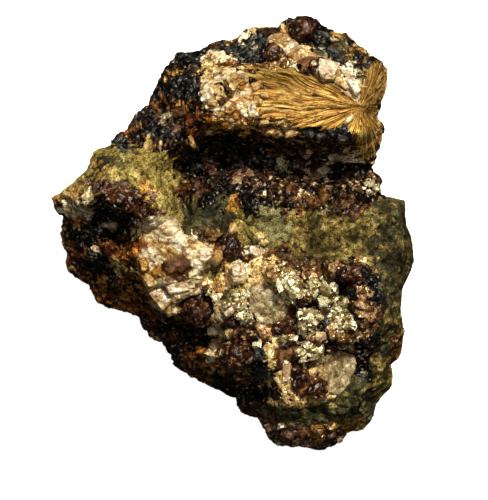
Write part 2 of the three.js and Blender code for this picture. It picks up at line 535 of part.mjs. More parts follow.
/** A crust: a mass with crystals grown all over it, joined in one solid, and its pocket. */
function crustPiece(spec) {
  const random = randomNumbers(spec.seed);
  let { solid, pocket } = massPiece(spec, spec.seed);
  for (const [x, y] of gridInside(spec.outline, spec.spacing, spec.size[0] * CRYSTAL.inset, spec.seed + 1)) {
    const size = THREE.MathUtils.lerp(...spec.size, random() ** 1.5);
    const turn = new THREE.Quaternion().setFromEuler(new THREE.Euler(random() * 2.6, random() * 2.6, random() * 6.3));
    const at = new THREE.Vector3(x, y, groundAt(x, y).height + CRYSTAL.proud * size);
    const matrix = new THREE.Matrix4().compose(at, turn, new THREE.Vector3(size, size, size));
    const points = placed(prismPoints(), matrix);
    solid = solid.add(solidOf(new ConvexGeometry(points)));
    pocket = pocket.add(pocketOfCrystal(points, at));
  }
  return { solid: largestPiece(solid), pocket };
}

/** The pocket that a convex crystal sits in: the crystal grown about its centre, open upward. */
function pocketOfCrystal(points, centre) {
  const hull = new ConvexHull().setFromPoints(points);
  const nearest = Math.min(...hull.faces.map((face) => -face.distanceToPoint(centre)));
  const grow = 1 + SEAT_GAP / nearest;
  const grown = points.map((point) => point.clone().sub(centre).multiplyScalar(grow).add(centre));
  const lifted = grown.map((point) => point.clone().setZ(point.z + POCKET_REACH));
  return solidOf(new ConvexGeometry([...grown, ...lifted]));
}

/** A garnet: a trapezohedron, stretched a little and part sunk in the face. */
function garnetPiece({ at: [x, y], radius, stretch, bearing, proud }, seed) {
  const random = randomNumbers(seed);
  const corners = GARNET_CORNERS.flatMap(([a, b, c]) => [[a, b, c], [c, a, b], [b, c, a]])
    .flatMap((corner) => OCTANTS.map((signs) => corner.map((value, axis) => value * signs[axis])));
  const lean = new THREE.Quaternion().setFromEuler(new THREE.Euler(random() * 1.2, random() * 1.2, random() * 1.5));
  const centre = new THREE.Vector3(x, y, groundAt(x, y).height + proud - radius * GARNET_SINK);
  const narrow = radius / Math.sqrt(stretch);
  const matrix = new THREE.Matrix4().makeTranslation(centre)
    .multiply(new THREE.Matrix4().makeRotationZ(THREE.MathUtils.degToRad(bearing)))
    .multiply(new THREE.Matrix4().makeScale(radius * stretch, narrow, narrow))
    .multiply(new THREE.Matrix4().makeRotationFromQuaternion(lean));
  const points = placed(corners, matrix);
  return { solid: solidOf(new ConvexGeometry(points)), pocket: pocketOfCrystal(points, centre) };
}

/** A solid as a named mesh. */
function meshOf(name, solid, material) {
  const { numProp, numVert, vertProperties, triVerts } = solid.getMesh();
  const position = new Float32Array(numVert * 3);
  for (let i = 0; i < numVert; i++) position.set(vertProperties.subarray(i * numProp, i * numProp + 3), i * 3);
  const geometry = new THREE.BufferGeometry()
    .setAttribute('position', new THREE.BufferAttribute(position, 3))
    .setIndex(new THREE.BufferAttribute(triVerts, 1));
  geometry.computeVertexNormals();
  const mesh = new THREE.Mesh(geometry, material);
  mesh.name = name;
  return mesh;
}

// ---------------------------------------------------------------- materials

const stone = (color, roughness, metalness = 0) => (
  new THREE.MeshStandardMaterial({ color, roughness, metalness, flatShading: true })
);
const MATERIALS = {
  skarn: stone(0x5a5236, 0.85),
  fibre: stone(0xb98c4a, 0.55),
  quartz: stone(0xa79c88, 0.35),
  calcite: stone(0xd8cdb8, 0.45),
  arsenopyrite: stone(0xb99b5a, 0.3, 0.9),
  garnet: stone(0x4a2a1a, 0.35),
};

/** The material of a node, from the first word of its name. */
function materialOf(name) {
  return MATERIALS[name.split('_')[0]];
}

// ---------------------------------------------------------------- the specimen

// Every mineral, the ones that grew into the others first: each is cut by the pockets of all before it.
const minerals = [
  ...Object.entries(GARNETS).map(([name, spec], i) => [name, garnetPiece(spec, SEED.garnets + i)]),
  ...Object.entries(CRUSTS).map(([name, spec]) => [name, crustPiece(spec)]),
  ['fibre_fan', sprayPiece()],
  ...Object.entries(MASSES).map(([name, spec], i) => [name, massPiece(spec, SEED.masses + i)]),
];

const specimen = new THREE.Group();
specimen.name = 'specimen';
let taken = null;
for (const [name, { solid, pocket }] of minerals) {
  const piece = taken ? largestPiece(solid.subtract(taken)) : solid;
  specimen.add(meshOf(name, piece, materialOf(name)));
  taken = taken ? taken.add(pocket) : pocket;
}
const rock = largestPiece(solidOf(rockGeometry()).subtract(taken));
specimen.add(meshOf('skarn_matrix', rock, materialOf('skarn_matrix')));

export default specimen;
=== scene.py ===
"""A hand specimen of arsenopyrite in skarn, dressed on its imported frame.

The rock and each mineral in it get a finely broken copy of their own solid. Grains, laid out as irregular
cells in space, give the broken faces their relief, and the same grains choose the mineral that shows there,
so that colour and relief always agree. Crystals and fibres that repeat are grown by Geometry Nodes on them.

Lengths and places are millimetres, one row to a place, and meshes and lamps are metres. X runs right, Y away
and Z up.
"""

from __future__ import annotations

import json
import logging
import math
import sys
from collections.abc import Iterable, Sequence
from dataclasses import dataclass, field, replace
from enum import Enum
from typing import Any

import bmesh
import bpy
import numpy as np
from bpy.types import Collection, GeometryNodeTree, Material, Mesh, NodeSocket, Object
from mathutils import Euler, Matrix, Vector
from mathutils.bvhtree import BVHTree
from mathutils.kdtree import KDTree

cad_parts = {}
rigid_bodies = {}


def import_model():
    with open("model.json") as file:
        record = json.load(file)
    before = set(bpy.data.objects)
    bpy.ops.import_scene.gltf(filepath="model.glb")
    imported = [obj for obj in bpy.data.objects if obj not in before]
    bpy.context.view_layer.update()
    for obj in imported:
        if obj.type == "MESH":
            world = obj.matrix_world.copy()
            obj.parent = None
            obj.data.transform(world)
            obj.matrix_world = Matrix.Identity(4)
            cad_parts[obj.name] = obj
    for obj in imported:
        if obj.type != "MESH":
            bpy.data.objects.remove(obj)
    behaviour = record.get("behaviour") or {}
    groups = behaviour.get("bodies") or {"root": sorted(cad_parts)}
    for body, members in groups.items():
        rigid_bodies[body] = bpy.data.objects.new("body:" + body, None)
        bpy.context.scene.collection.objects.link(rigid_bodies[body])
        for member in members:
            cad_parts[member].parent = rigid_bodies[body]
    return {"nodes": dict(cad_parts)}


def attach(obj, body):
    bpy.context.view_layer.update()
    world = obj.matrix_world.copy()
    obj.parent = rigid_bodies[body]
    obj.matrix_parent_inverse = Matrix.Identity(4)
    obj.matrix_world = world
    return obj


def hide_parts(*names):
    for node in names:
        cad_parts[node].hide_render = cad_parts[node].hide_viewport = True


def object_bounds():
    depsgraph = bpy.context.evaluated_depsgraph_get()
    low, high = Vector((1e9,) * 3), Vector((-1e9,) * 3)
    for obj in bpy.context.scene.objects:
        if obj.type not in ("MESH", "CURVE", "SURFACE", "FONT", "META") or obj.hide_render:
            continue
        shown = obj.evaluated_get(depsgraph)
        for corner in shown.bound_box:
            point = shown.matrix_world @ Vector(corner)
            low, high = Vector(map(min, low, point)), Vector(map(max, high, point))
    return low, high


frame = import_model()
CAD_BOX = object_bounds()

log = logging.getLogger("specimen")
Array = np.ndarray
Tone = tuple[int, int, int]

MM = 0.001
BODY = "root"
ROCK = "skarn_matrix"


# ---- minerals


class Mineral(Enum):
    """What shows on a broken face."""

    SKARN = "skarn"
    OLIVE = "olive"
    OLIVE_DARK = "dark olive"
    OLIVE_YELLOW = "yellow olive"
    SAGE = "grey green"
    AMPHIBOLE = "black amphibole"
    STEEL = "blue grey"
    BLACK = "black"
    BROWN = "brown"
    RED_BROWN = "red brown"
    MAUVE = "purple brown"
    RUST = "rust"
    OCHRE = "ochre"
    TAN = "tan"
    CREAM = "cream"
    CHALK = "white calcite"
    QUARTZ = "grey quartz"
    BRONZE = "bronze"
    BRASS = "brass"
    GARNET = "garnet"
    FIBRE = "tan fibre"
    PALE_FIBRE = "pale fibre"


M = Mineral


@dataclass(frozen=True)
class Look:
    """How a mineral shows.

    Attributes:
        dark, main, light: Display colours of its darkest, usual and palest grains.
        rough: Roughness of its faces.
        metal: How metallic it is.
        block: How much of the rock's relief its coarse grains show.
        crumb: How much of it its fine grains show.
        seam: Depth of the cracks between grains.
        grainy: How far its tone changes from grain to grain, and not in soft drifts.
        crumbly: How thickly loose-edged grains stand on it, from 0 to 1.
    """

    dark: Tone
    main: Tone
    light: Tone
    rough: float = 0.6
    metal: float = 0.0
    block: float = 0.6
    crumb: float = 0.3
    seam: float = 0.2
    grainy: float = 1.0
    crumbly: float = 1.0


LOOKS = {
    M.SKARN: Look((44, 32, 16), (78, 60, 32), (120, 100, 62), block=0.5, seam=0.15, grainy=0.5,
                  crumbly=0.15),
    M.OLIVE: Look((21, 17, 8), (92, 80, 41), (184, 167, 108), 0.9, block=0.5, crumb=0.45, seam=0,
                  grainy=0.45, crumbly=0),
    M.OLIVE_DARK: Look((20, 19, 11), (57, 54, 35), (112, 106, 72), 0.9, block=0.3, crumb=0.26, seam=0,
                       grainy=0.4, crumbly=0),
    M.OLIVE_YELLOW: Look((78, 68, 34), (140, 124, 68), (194, 178, 112), 0.8, block=0.8, crumb=0.1, seam=0.05,
                         grainy=0.4, crumbly=0.02),
    M.SAGE: Look((70, 68, 40), (112, 106, 68), (154, 148, 106), 0.85, block=0.2, crumb=0.1, seam=0,
                 grainy=0.2, crumbly=0),
    M.AMPHIBOLE: Look((4, 4, 4), (18, 19, 18), (84, 86, 82), 0.36, block=0.5, crumb=0.5),
    M.STEEL: Look((10, 10, 10), (38, 39, 38), (110, 112, 106), 0.38, block=0.4, crumb=0.5),
    M.BLACK: Look((3, 2, 2), (11, 8, 6), (50, 38, 26), 0.36, block=0.7, crumb=0.5),
    M.BROWN: Look((15, 8, 4), (54, 34, 17), (126, 90, 50), 0.4, crumb=0.45),
    M.RED_BROWN: Look((18, 8, 5), (54, 29, 18), (124, 84, 56), 0.28, block=0.5, crumb=0.4),
    M.MAUVE: Look((22, 13, 9), (66, 46, 34), (138, 108, 88), 0.34, block=0.45, crumb=0.4),
    M.RUST: Look((44, 22, 8), (104, 60, 24), (178, 122, 58), block=0.45),
    M.OCHRE: Look((104, 70, 24), (168, 126, 56), (222, 184, 112), block=0.35, crumb=0.25),
    M.TAN: Look((92, 66, 32), (146, 114, 64), (204, 172, 118), block=0.35, crumb=0.25),
    M.CREAM: Look((122, 91, 46), (188, 158, 101), (232, 212, 160), 0.5, block=0.35, crumb=0.2, seam=0.06,
                  crumbly=0.25),
    M.CHALK: Look((158, 141, 97), (219, 206, 165), (252, 248, 226), 0.42, block=0.4, crumb=0.2, seam=0.05,
                  crumbly=0.15),
    M.QUARTZ: Look((96, 84, 58), (170, 157, 119), (228, 220, 190), 0.22, block=0.35, crumb=0.2, grainy=0.5,
                   crumbly=0.1),
    M.BRONZE: Look((46, 27, 14), (158, 122, 80), (250, 222, 178), 0.3, 0.5, crumb=0.55),
    M.BRASS: Look((88, 72, 38), (230, 218, 166), (255, 252, 220), 0.3, 0.5, block=0.8, crumb=0.7),
    M.GARNET: Look((12, 5, 3), (44, 22, 12), (140, 92, 50), 0.3, grainy=0.8, crumbly=0),
    M.FIBRE: Look((76, 44, 12), (166, 124, 49), (238, 203, 130)),
    M.PALE_FIBRE: Look((140, 112, 72), (206, 184, 140), (244, 232, 202)),
}
MINERALS = tuple(Mineral)
NUMBERS = {mineral: number for number, mineral in enumerate(MINERALS)}
SHADE_TINT = np.array((0.86, 1.0, 1.16))  # shares of red, green and blue that the painted shade in a hollow takes away
WEATHERED = (148, 122, 56)  # display colour of greenish, weathered fibres
RUSTY = (62, 36, 12)  # display colour of rust between fibres


# ---- where each mineral shows


@dataclass(frozen=True)
class Zone:
    """A stretch of the rock with one mixture of grains.

    Attributes:
        corners: Its outline in plan.
        mixture: The minerals that its grains are picked from, repeated where they are commoner.
    """

    corners: tuple[tuple[float, float], ...]
    mixture: tuple[Mineral, ...]


@dataclass(frozen=True)
class Patch:
    """A small spot of one mineral, in plan.

    Attributes:
        mineral: What it shows.
        x, y: Its middle.
        along, across: Its half widths.
        turn: The way its length points, in degrees.
    """

    mineral: Mineral
    x: float
    y: float
    along: float
    across: float
    turn: float = 0.0


WALL = (M.SKARN, M.SKARN, M.BROWN, M.OLIVE_DARK, M.RUST, M.BLACK)
BACK_WALL = (M.AMPHIBOLE, M.BROWN, M.BROWN, M.SKARN, M.TAN, M.BLACK, M.BLACK)
LEFT_WALL = (M.BROWN, M.BROWN, M.BLACK, M.BLACK, M.RUST, M.RED_BROWN)
RIGHT_WALL = (M.OLIVE_DARK, M.OLIVE_DARK, M.SKARN, M.OLIVE)

ZONES = (
    Zone(  # the high block
        ((-13, 29), (-5, 37), (7, 42), (21, 40), (30, 33), (31, 25), (29, 16), (18, 18), (5, 19), (-6, 18),
         (-12, 20)),
        (M.CREAM, M.TAN, M.BROWN, M.AMPHIBOLE, M.OCHRE, M.BROWN),
    ),
    Zone(  # its knobbly crown
        ((2, 35), (9, 42), (17, 42), (30, 33), (29, 24), (22, 29), (14, 30), (3, 31)),
        (M.AMPHIBOLE, M.AMPHIBOLE, M.SAGE, M.CREAM, M.BROWN, M.BLACK, M.QUARTZ, M.STEEL),
    ),
    Zone(  # the dark shoulder on its left
        ((-26, 15), (-18, 25), (-13, 34), (-5, 37), (-4, 31), (-6, 25), (-5, 18), (-12, 14), (-21, 15)),
        (M.AMPHIBOLE, M.BLACK, M.BROWN, M.BLACK, M.BLACK, M.BROWN, M.RUST, M.MAUVE),
    ),
    # the next zone's black grains are dark minerals, darkened further as painted shade under the high
    # block's overhang
    Zone(  # the hollow under the high block
        ((-7, 19), (5, 19.2), (14, 19), (29, 17), (31, 10), (17, 8.5), (4, 8), (-3, 8), (-10, 12)),
        (M.BLACK, M.BRONZE, M.AMPHIBOLE, M.MAUVE, M.BLACK, M.BROWN, M.BLACK, M.RED_BROWN),
    ),
    Zone(  # the granular slope below the hollow
        ((-4, 13), (4, 9.5), (17, 9.5), (30, 11), (31, 6), (27, 3), (16, 3.5), (6, 3.5), (0, 6)),
        (M.BRONZE, M.BROWN, M.BLACK, M.BLACK, M.RED_BROWN, M.BROWN, M.BLACK, M.BLACK),
    ),
    Zone(  # the smooth olive step
        ((3, 3.5), (16, 4), (28, 6), (27, -6), (18.5, -6.5), (10, -6.5), (5.5, -3)),
        (M.OLIVE,),
    ),
    Zone(  # the smooth strip down the right edge
        ((26, 5), (30, 8), (36, 8), (36, -10), (33, -30), (26, -38), (18, -31), (24.5, -21), (26, -6)),
        (M.OLIVE_DARK, M.OLIVE_DARK, M.OLIVE),
    ),
    Zone(  # the smooth apron at the lower end
        ((5.5, -31.5), (12, -31.8), (19, -30), (28, -32), (26, -38), (18.5, -36.4), (6, -36.2)),
        (M.OLIVE_DARK, M.SAGE, M.OLIVE_DARK),
    ),
    Zone(  # the granular foot below the apron
        ((4, -36), (18.5, -36), (24, -38.5), (20, -43), (6, -43)),
        (M.BRONZE, M.MAUVE, M.BROWN, M.BRONZE, M.RED_BROWN, M.BRONZE),
    ),
    Zone(  # the rough mound that carries the arsenopyrite
        ((1.5, -6), (9, -5.5), (25, -5), (27.5, -12), (26.5, -18.5), (19, -21.5), (17, -30), (5, -31),
         (-3.5, -26.5), (-4.5, -18.5), (0.5, -11)),
        (M.BROWN, M.BLACK, M.BRONZE, M.CREAM, M.RED_BROWN, M.BROWN),
    ),
    Zone(  # the olive-yellow ridge out to the left tip
        ((-27, 17), (-15.5, 16.5), (-9.5, 14), (-9.5, 3), (-15.5, 3.5), (-23, 6.5), (-31, 6), (-36, 7)),
        (M.OLIVE_YELLOW,),
    ),
    Zone(  # the white shelf below that ridge
        ((-20, 3.5), (-14, 5), (-8.5, 4), (-3, -1), (1, -5), (3, -10), (-7, -11), (-10.5, -16),
         (-15.5, -14.5), (-19, -5.5)),
        (M.CREAM, M.OCHRE, M.CHALK, M.CREAM, M.BROWN),
    ),
    Zone(  # the stained shelf above the lower left wall
        ((-36, 8), (-28, 7), (-19, 4), (-18, -5.5), (-13, -14), (-7, -19), (4, -27), (6, -33), (-12, -27),
         (-28, -14), (-36, -6)),
        (M.BROWN, M.RUST, M.BLACK, M.BROWN, M.BLACK, M.RUST, M.RED_BROWN, M.TAN),
    ),
    Zone(  # the smooth floor of the valley
        ((-10, 10), (-2, 8.5), (3, 5), (6, 3), (5.5, -3), (1, -1), (-3, -1.5), (-9, 2)),
        (M.OLIVE_DARK, M.OLIVE, M.BLACK, M.OLIVE_DARK),
    ),
)

DEEP_ZONES = (
    Zone(((-99, -99), (99, -99), (99, 99), (-99, 99)), WALL),
    Zone(((-40, 50), (40, 50), (40, 22), (-16, 22), (-40, 18)), BACK_WALL),
    Zone(((22, 22), (40, 22), (40, -50), (22, -30)), RIGHT_WALL),
    Zone(((-40, 12), (-20, 6), (0, -28), (0, -50), (-40, -50)), LEFT_WALL),
)

PATCHES = tuple(Patch(*row) for row in (
    (M.BRASS, 9.2, -8.4, 3.7, 3.0), (M.BRASS, 10.6, -11.4, 2.6, 1.9, 20),
    (M.BRASS, 16.2, -9.6, 3.4, 2.0, -10), (M.BRASS, 18.9, -13.4, 3.4, 2.2, -30),
    (M.BRASS, 20.6, -16.2, 2.2, 1.7), (M.BRONZE, 24.9, -12.4, 2.3, 2.8), (M.BRASS, 14.3, -22.2, 3.2, 2.0),
    (M.BRASS, 8.4, -20.4, 2.8, 1.9), (M.BRASS, 0.6, -12.2, 2.2, 1.9), (M.BRASS, 2.7, -15.2, 2.4, 1.4, -30),
    (M.BRASS, 14.6, -16.4, 2.3, 2.6), (M.BRONZE, 22.0, -18.4, 3.0, 1.3), (M.RED_BROWN, 21.5, -7.6, 3.0, 1.5),
    (M.BROWN, 12.6, -5.8, 3.0, 1.0), (M.BROWN, -10.0, -5.7, 2.7, 2.0),
    (M.OLIVE_YELLOW, -10.6, -3.6, 1.7, 1.0), (M.OCHRE, 0.2, 22.4, 1.8, 0.8, -10),
    (M.BROWN, -1.6, 24.4, 1.0, 0.6), (M.OCHRE, 1.7, 27.6, 0.7, 1.3, 30), (M.OCHRE, 1.9, 24.7, 1.0, 0.5, 40),
    (M.BRONZE, 7.4, -34.9, 1.6, 1.0), (M.BRASS, 8.0, -37.4, 1.4, 1.0), (M.BRONZE, 12.8, 7.2, 1.8, 0.8),
    (M.BRONZE, 22.6, 8.4, 2.0, 1.2), (M.BRASS, 26.4, 8.8, 1.4, 1.6), (M.BRASS, 9.8, 12.6, 1.2, 0.8),
    (M.BRONZE, 15.4, 11.0, 1.6, 1.2), (M.MAUVE, 2.8, 14.8, 2.2, 1.0, -20), (M.MAUVE, 8.4, 15.4, 1.8, 0.9),
    (M.RED_BROWN, 18.2, 6.2, 1.6, 0.8), (M.AMPHIBOLE, -8.1, 33.4, 3, 1.7),
    (M.AMPHIBOLE, -9.6, 27.4, 3.8, 2.5, 10), (M.OCHRE, -10.7, 30.2, 1.9, 0.9, 10),
    (M.AMPHIBOLE, -13.8, 19.9, 3.2, 2.1, -20), (M.STEEL, -16.1, 19.8, 1.1, 1.7, 20),
    (M.CREAM, -15.1, 16.9, 0.9, 2.5, 35), (M.STEEL, -19.9, 16.5, 1.9, 0.8),
    (M.MAUVE, -12.6, 21.7, 2.3, 1.5, -20), (M.QUARTZ, -12.0, 21.9, 1.3, 0.9, -20),
    (M.BROWN, -10.4, 23.8, 2.5, 1.5, -20), (M.OCHRE, -8.5, 24.5, 1.5, 0.8, 10), (M.RUST, -5, 21.7, 2.7, 0.9),
    (M.RUST, -7.7, 19.9, 1.9, 1.1, -30), (M.CHALK, -2.8, 32.3, 3.2, 2.3), (M.CREAM, -3.9, 30.4, 2.3, 1.5),
    (M.RUST, -1.2, 31.4, 1.1, 1.1), (M.MAUVE, -3.7, 35.5, 2.3, 1.1, 10), (M.CHALK, 2.8, 36.9, 2.1, 1.1, 10),
    (M.STEEL, -0.1, 35, 1.9, 1.3), (M.AMPHIBOLE, 3.3, 34.6, 2.9, 1.7, -20), (M.STEEL, 2.6, 32.7, 1.7, 1.5),
    (M.AMPHIBOLE, 4.8, 31.9, 3, 1.5, -30), (M.AMPHIBOLE, 6.4, 37.2, 2.1, 1.5),
    (M.OCHRE, 6, 39.3, 1.9, 0.8, 10), (M.RED_BROWN, 7.5, 33.8, 1.7, 1.7), (M.BRONZE, 7.5, 31.4, 1.7, 1.5),
    (M.BLACK, 12.8, 38, 3.2, 2.9, -40), (M.CREAM, 9.4, 36.7, 1.3, 2.2, -50),
    (M.CREAM, 12.6, 33.4, 3.0, 1.1, -20), (M.OCHRE, 11.1, 32.5, 0.8, 0.5, -20),
    (M.BROWN, 14.9, 31.2, 1.9, 1.1, -20), (M.BLACK, 16.6, 38.6, 1.9, 1.6),
    (M.BLACK, 14.6, 35.2, 2.0, 0.9, -20), (M.AMPHIBOLE, 17.0, 36.0, 2.0, 1.3, -40),
    (M.OCHRE, 19.7, 37.6, 1.3, 0.6, -30), (M.AMPHIBOLE, 19.9, 31.5, 1.8, 1.0, -20),
    (M.CHALK, 17.2, 30, 1.7, 0.9, -20), (M.CHALK, 21.2, 27.4, 3.2, 1.7, -45), (M.STEEL, 25.4, 31, 1.7, 2.1),
    (M.TAN, 24.2, 34.2, 2.4, 0.9, -35), (M.OLIVE_DARK, 21.0, 35.6, 1.8, 1.2, -35),
    (M.CHALK, 21.9, 30.4, 1.5, 0.9, -30), (M.BROWN, 23.5, 33.2, 2.3, 1.1, -30),
    (M.TAN, 26.3, 27.4, 1.9, 3.2), (M.TAN, 25.7, 19.8, 2.3, 3, 10), (M.BROWN, 27.3, 31.5, 1.3, 1.5),
    (M.CREAM, 9.8, 19.4, 3.2, 1.5), (M.STEEL, 19.3, 19.8, 4.6, 1.7, -10),
    (M.AMPHIBOLE, 14.2, 19.4, 2.3, 1.5), (M.OCHRE, 3.3, 20.5, 2.2, 1.0), (M.OCHRE, -2, 20.5, 2.2, 0.9),
    (M.OCHRE, 22.7, 16, 0.9, 1.5), (M.OLIVE_DARK, 23.8, 17.5, 2.1, 1.9), (M.STEEL, 25.6, 16, 1.5, 0.9),
    (M.CHALK, 21.9, 14.2, 2.5, 0.9), (M.RED_BROWN, -5.2, 12.2, 2.5, 1.5, -20),
    (M.MAUVE, -4.3, 14.1, 2.7, 0.8, -30), (M.STEEL, -6.9, 14.4, 1.5, 1.3),
    (M.BLACK, -7.5, 11.4, 2.7, 1.5, -20), (M.BLACK, -3.3, 9.3, 3, 1.7), (M.BLACK, 4.3, 6.1, 3, 1.9, -30),
    # The black patches at 21.4, 12.2 and -0.5, 16.5 lie in the hollow under the high block: dark minerals,
    # darkened further as painted shade.
    (M.BLACK, 10, 4.6, 3, 1.1, -20), (M.BLACK, 21.4, 12.2, 4.6, 1.3, 5), (M.BLACK, 23.3, 8, 2.3, 0.9),
    (M.BLACK, -0.5, 16.5, 5.7, 2.3), (M.SAGE, -21.5, 13.0, 3.6, 1.6, -10),
    (M.OLIVE_YELLOW, -15.5, 10.8, 5, 4.2), (M.TAN, -24.4, 13.1, 2.7, 1.5, -10),
    (M.OLIVE_DARK, -23.7, 13.7, 1.5, 0.9), (M.MAUVE, -21.8, 8.7, 3.8, 1.3, -5),
    (M.MAUVE, -19.5, 6.8, 5.3, 1.5, -8), (M.OCHRE, -15.7, 8.4, 2.3, 1.3, -30),
    (M.BROWN, -16.2, 4.8, 1.7, 2.1), (M.MAUVE, -25.9, 9.5, 1.5, 1.7), (M.RED_BROWN, -23.3, 5.3, 4.2, 1.5),
    # The black patch at -22.9, 3.4 is painted shade in the hollow at the foot of the left ridge.
    (M.BLACK, -22.9, 3.4, 3.8, 2.9), (M.CHALK, -27.3, 7, 1.3, 1.3), (M.CHALK, -30.9, 5.3, 1.7, 1.7, -30),
    (M.QUARTZ, -27.8, 4.4, 1.7, 1.5), (M.QUARTZ, -23.7, 1.7, 2.7, 0.9, -5), (M.RUST, -29.2, 1.3, 1.3, 1.1),
    (M.TAN, -30.1, 8, 1.7, 1.3, 20), (M.TAN, -32.4, 0, 0.8, 3.4, -5), (M.BLACK, -27.1, 0, 4.9, 1.7),
    (M.CHALK, -25.9, -2.5, 1.1, 0.8), (M.RUST, -21.8, -3.8, 3, 1.7, -20), (M.RUST, -18.3, -2.7, 1.9, 1.5),
    (M.BLACK, -25.9, -5.7, 3, 1.5, -20), (M.CREAM, -21.8, -6.1, 1.9, 1.1, -30),
    (M.OCHRE, -15.7, -6.8, 3, 2.3, -20), (M.RUST, -23.7, -11.4, 2.3, 1.3, -20),
    # The black patch at -17.6, -9.9 is painted shade in a small hollow.
    (M.BLACK, -17.6, -9.9, 1.7, 1.7), (M.OCHRE, -15.3, -11, 1.7, 2.7, 20),
    (M.RUST, -19.9, -12.9, 2.9, 1.1, -30), (M.RUST, -15.7, -14.4, 1.5, 1.9, 30),
    # The black patch at -9, -18.2 is painted shadow in the recess under a brown lump.
    (M.BLACK, -9, -18.2, 4.6, 2.1, -10), (M.RUST, -11.5, -19.8, 1.3, 0.9, -20),
    (M.BLACK, -11.5, -22.4, 1.5, 2.3, 20), (M.RUST, -6.2, -23.2, 2.9, 1.5, -25),
    (M.CHALK, -3.9, -22.4, 1.5, 1.5), (M.OCHRE, -3.1, -25.5, 2.1, 1.1, -20),
    (M.BLACK, 0.5, -29.3, 5.7, 2.5, -25), (M.RUST, 1.4, -26.6, 3, 0.9, -15), (M.CHALK, -15.5, 1.9, 2.3, 2.3),
    (M.OCHRE, -15.3, 0.4, 1.5, 0.8), (M.OLIVE_YELLOW, -10.7, 5.1, 1.9, 4.2, 10),
    (M.OLIVE_DARK, -5.4, 3, 4, 3.4), (M.BLACK, -4.7, 7.6, 2.5, 1.5), (M.BROWN, -8.1, 8.7, 2.5, 1.7),
    (M.BROWN, -3.5, 0.2, 2.5, 0.8, -15), (M.OCHRE, 0.3, 5.3, 1.3, 2.1), (M.RUST, 0.7, 6.1, 0.8, 0.9),
    (M.OLIVE_YELLOW, 2, 1.1, 2.3, 3.2), (M.SAGE, 6.9, 1.5, 2.9, 4.2), (M.CREAM, 6.7, -2.9, 0.8, 2.7, 30),
    (M.OLIVE_YELLOW, 12.1, 3.2, 2.3, 1.5), (M.BROWN, 10.9, -2.7, 2.7, 1.1),
    (M.BROWN, 18.5, 5.3, 7.6, 1.3, -5), (M.RED_BROWN, -0.7, -1.9, 2.3, 2.3),
    (M.CHALK, 4.1, -2.7, 1.9, 1.1, -10), (M.BROWN, 4.8, -4, 2.3, 0.9, -20), (M.SAGE, -4.3, -6.1, 1.7, 1.7),
    (M.OCHRE, -5.2, -7.6, 1.9, 0.9), (M.CHALK, 1, -6.5, 1.7, 1.7), (M.OCHRE, 1.8, -9.3, 3, 0.8),
    (M.SAGE, -0.7, -11, 0.9, 1.5), (M.CHALK, -2, -14.1, 2.5, 2.7), (M.BLACK, -0.7, -16, 0.9, 0.8),
    (M.CHALK, -2, -17.7, 1.7, 1.1), (M.BROWN, -6.9, -14.4, 3.8, 4.2), (M.CREAM, 3.3, -25.8, 2.9, 1.5),
    (M.BROWN, 1, -22, 3.2, 3.2), (M.AMPHIBOLE, 5.6, -22.4, 1.3, 1.7),
    (M.AMPHIBOLE, 5.6, -24.7, 2.3, 2.9, -20), (M.CREAM, 6.7, -18.6, 1.5, 1.9),
    (M.CREAM, 8.1, -22.4, 2.3, 2.3), (M.BROWN, 10.5, -22.8, 2.7, 2.3), (M.CHALK, 10.4, -25.8, 0.9, 2.1, 5),
    (M.RED_BROWN, 12.1, -26.6, 1.5, 3), (M.CREAM, 15.1, -24.7, 1.7, 1.3),
    (M.RED_BROWN, 15.1, -28.1, 2.7, 1.7), (M.CREAM, 8.6, -27.4, 2.3, 1.7),
    (M.BLACK, 7.1, -29.6, 1.5, 0.8, -20), (M.CREAM, 12.8, -31.2, 6.5, 0.8, 5),
    (M.CREAM, 17.8, -29.6, 1.5, 0.9), (M.BROWN, 7.1, -34.6, 1.7, 1.3), (M.OCHRE, 21.4, -35.7, 3.4, 0.8, 5),
    (M.MAUVE, 12.8, -38, 6.8, 1.9), (M.OCHRE, 16.2, -38, 2.3, 1.3), (M.MAUVE, 19.3, -38.4, 1.1, 1.7),
    (M.CREAM, 5.6, -7.2, 2.3, 2.7), (M.BLACK, 14.5, -12.7, 2.1, 0.9), (M.BLACK, 21, -10.4, 1.9, 0.9, -20),
    (M.BROWN, 10.9, -14.1, 1.9, 1.5, 20), (M.BLACK, 12.3, -19.2, 1.1, 0.9), (M.BLACK, 18.5, -19.4, 1.7, 0.6),
    (M.STEEL, 18, -13.7, 0.8, 0.6), (M.AMPHIBOLE, 25.8, -8.4, 1.3, 1.7),
    (M.AMPHIBOLE, 26.5, -11.4, 0.9, 1.7), (M.AMPHIBOLE, 26.8, -19.6, 1.6, 1.5),
    (M.AMPHIBOLE, 25.6, -21.9, 2.3, 2.7), (M.OLIVE_DARK, 23.1, -27.7, 2.1, 2.3),
    (M.AMPHIBOLE, 24.2, -24.7, 1.7, 1.7), (M.BLACK, 25.0, -20.8, 2.3, 1.9), (M.BLACK, 24.6, -23.4, 1.7, 1.9),
    (M.OLIVE, 29, -28.1, 2.3, 5.7, 20), (M.AMPHIBOLE, 23.3, -33.4, 2.2, 0.9),
    (M.BROWN, 30.9, -22.4, 1.5, 3.8), (M.OLIVE_YELLOW, 31.8, -24.3, 1.1, 2.7),
))


# ---- noise and grains


MASK = 0xFFFFFFFF
GOLDEN = 0.618  # a step that spreads numbers evenly over a range
UNSEEN = 9.0  # farther than any grain or crystal


def scrambled(cell: Array, seed: int) -> Array:
    """Gives each cell of a lattice its own number.

    Args:
        cell: Whole-number places, one row each.
        seed: Starting point.

    Returns:
        A number from 0 to 1 for each row.
    """
    x, y, z = cell[:, 0], cell[:, 1], cell[:, 2]
    mixed = (x * 374761393 + y * 668265263 + z * 1103515245 + seed * 1442695041) & MASK
    mixed = ((mixed ^ (mixed >> 13)) * 1274126177) & MASK
    mixed = ((mixed ^ (mixed >> 16)) * 1597334677) & MASK
    return (mixed ^ (mixed >> 15)) / 2.0**32


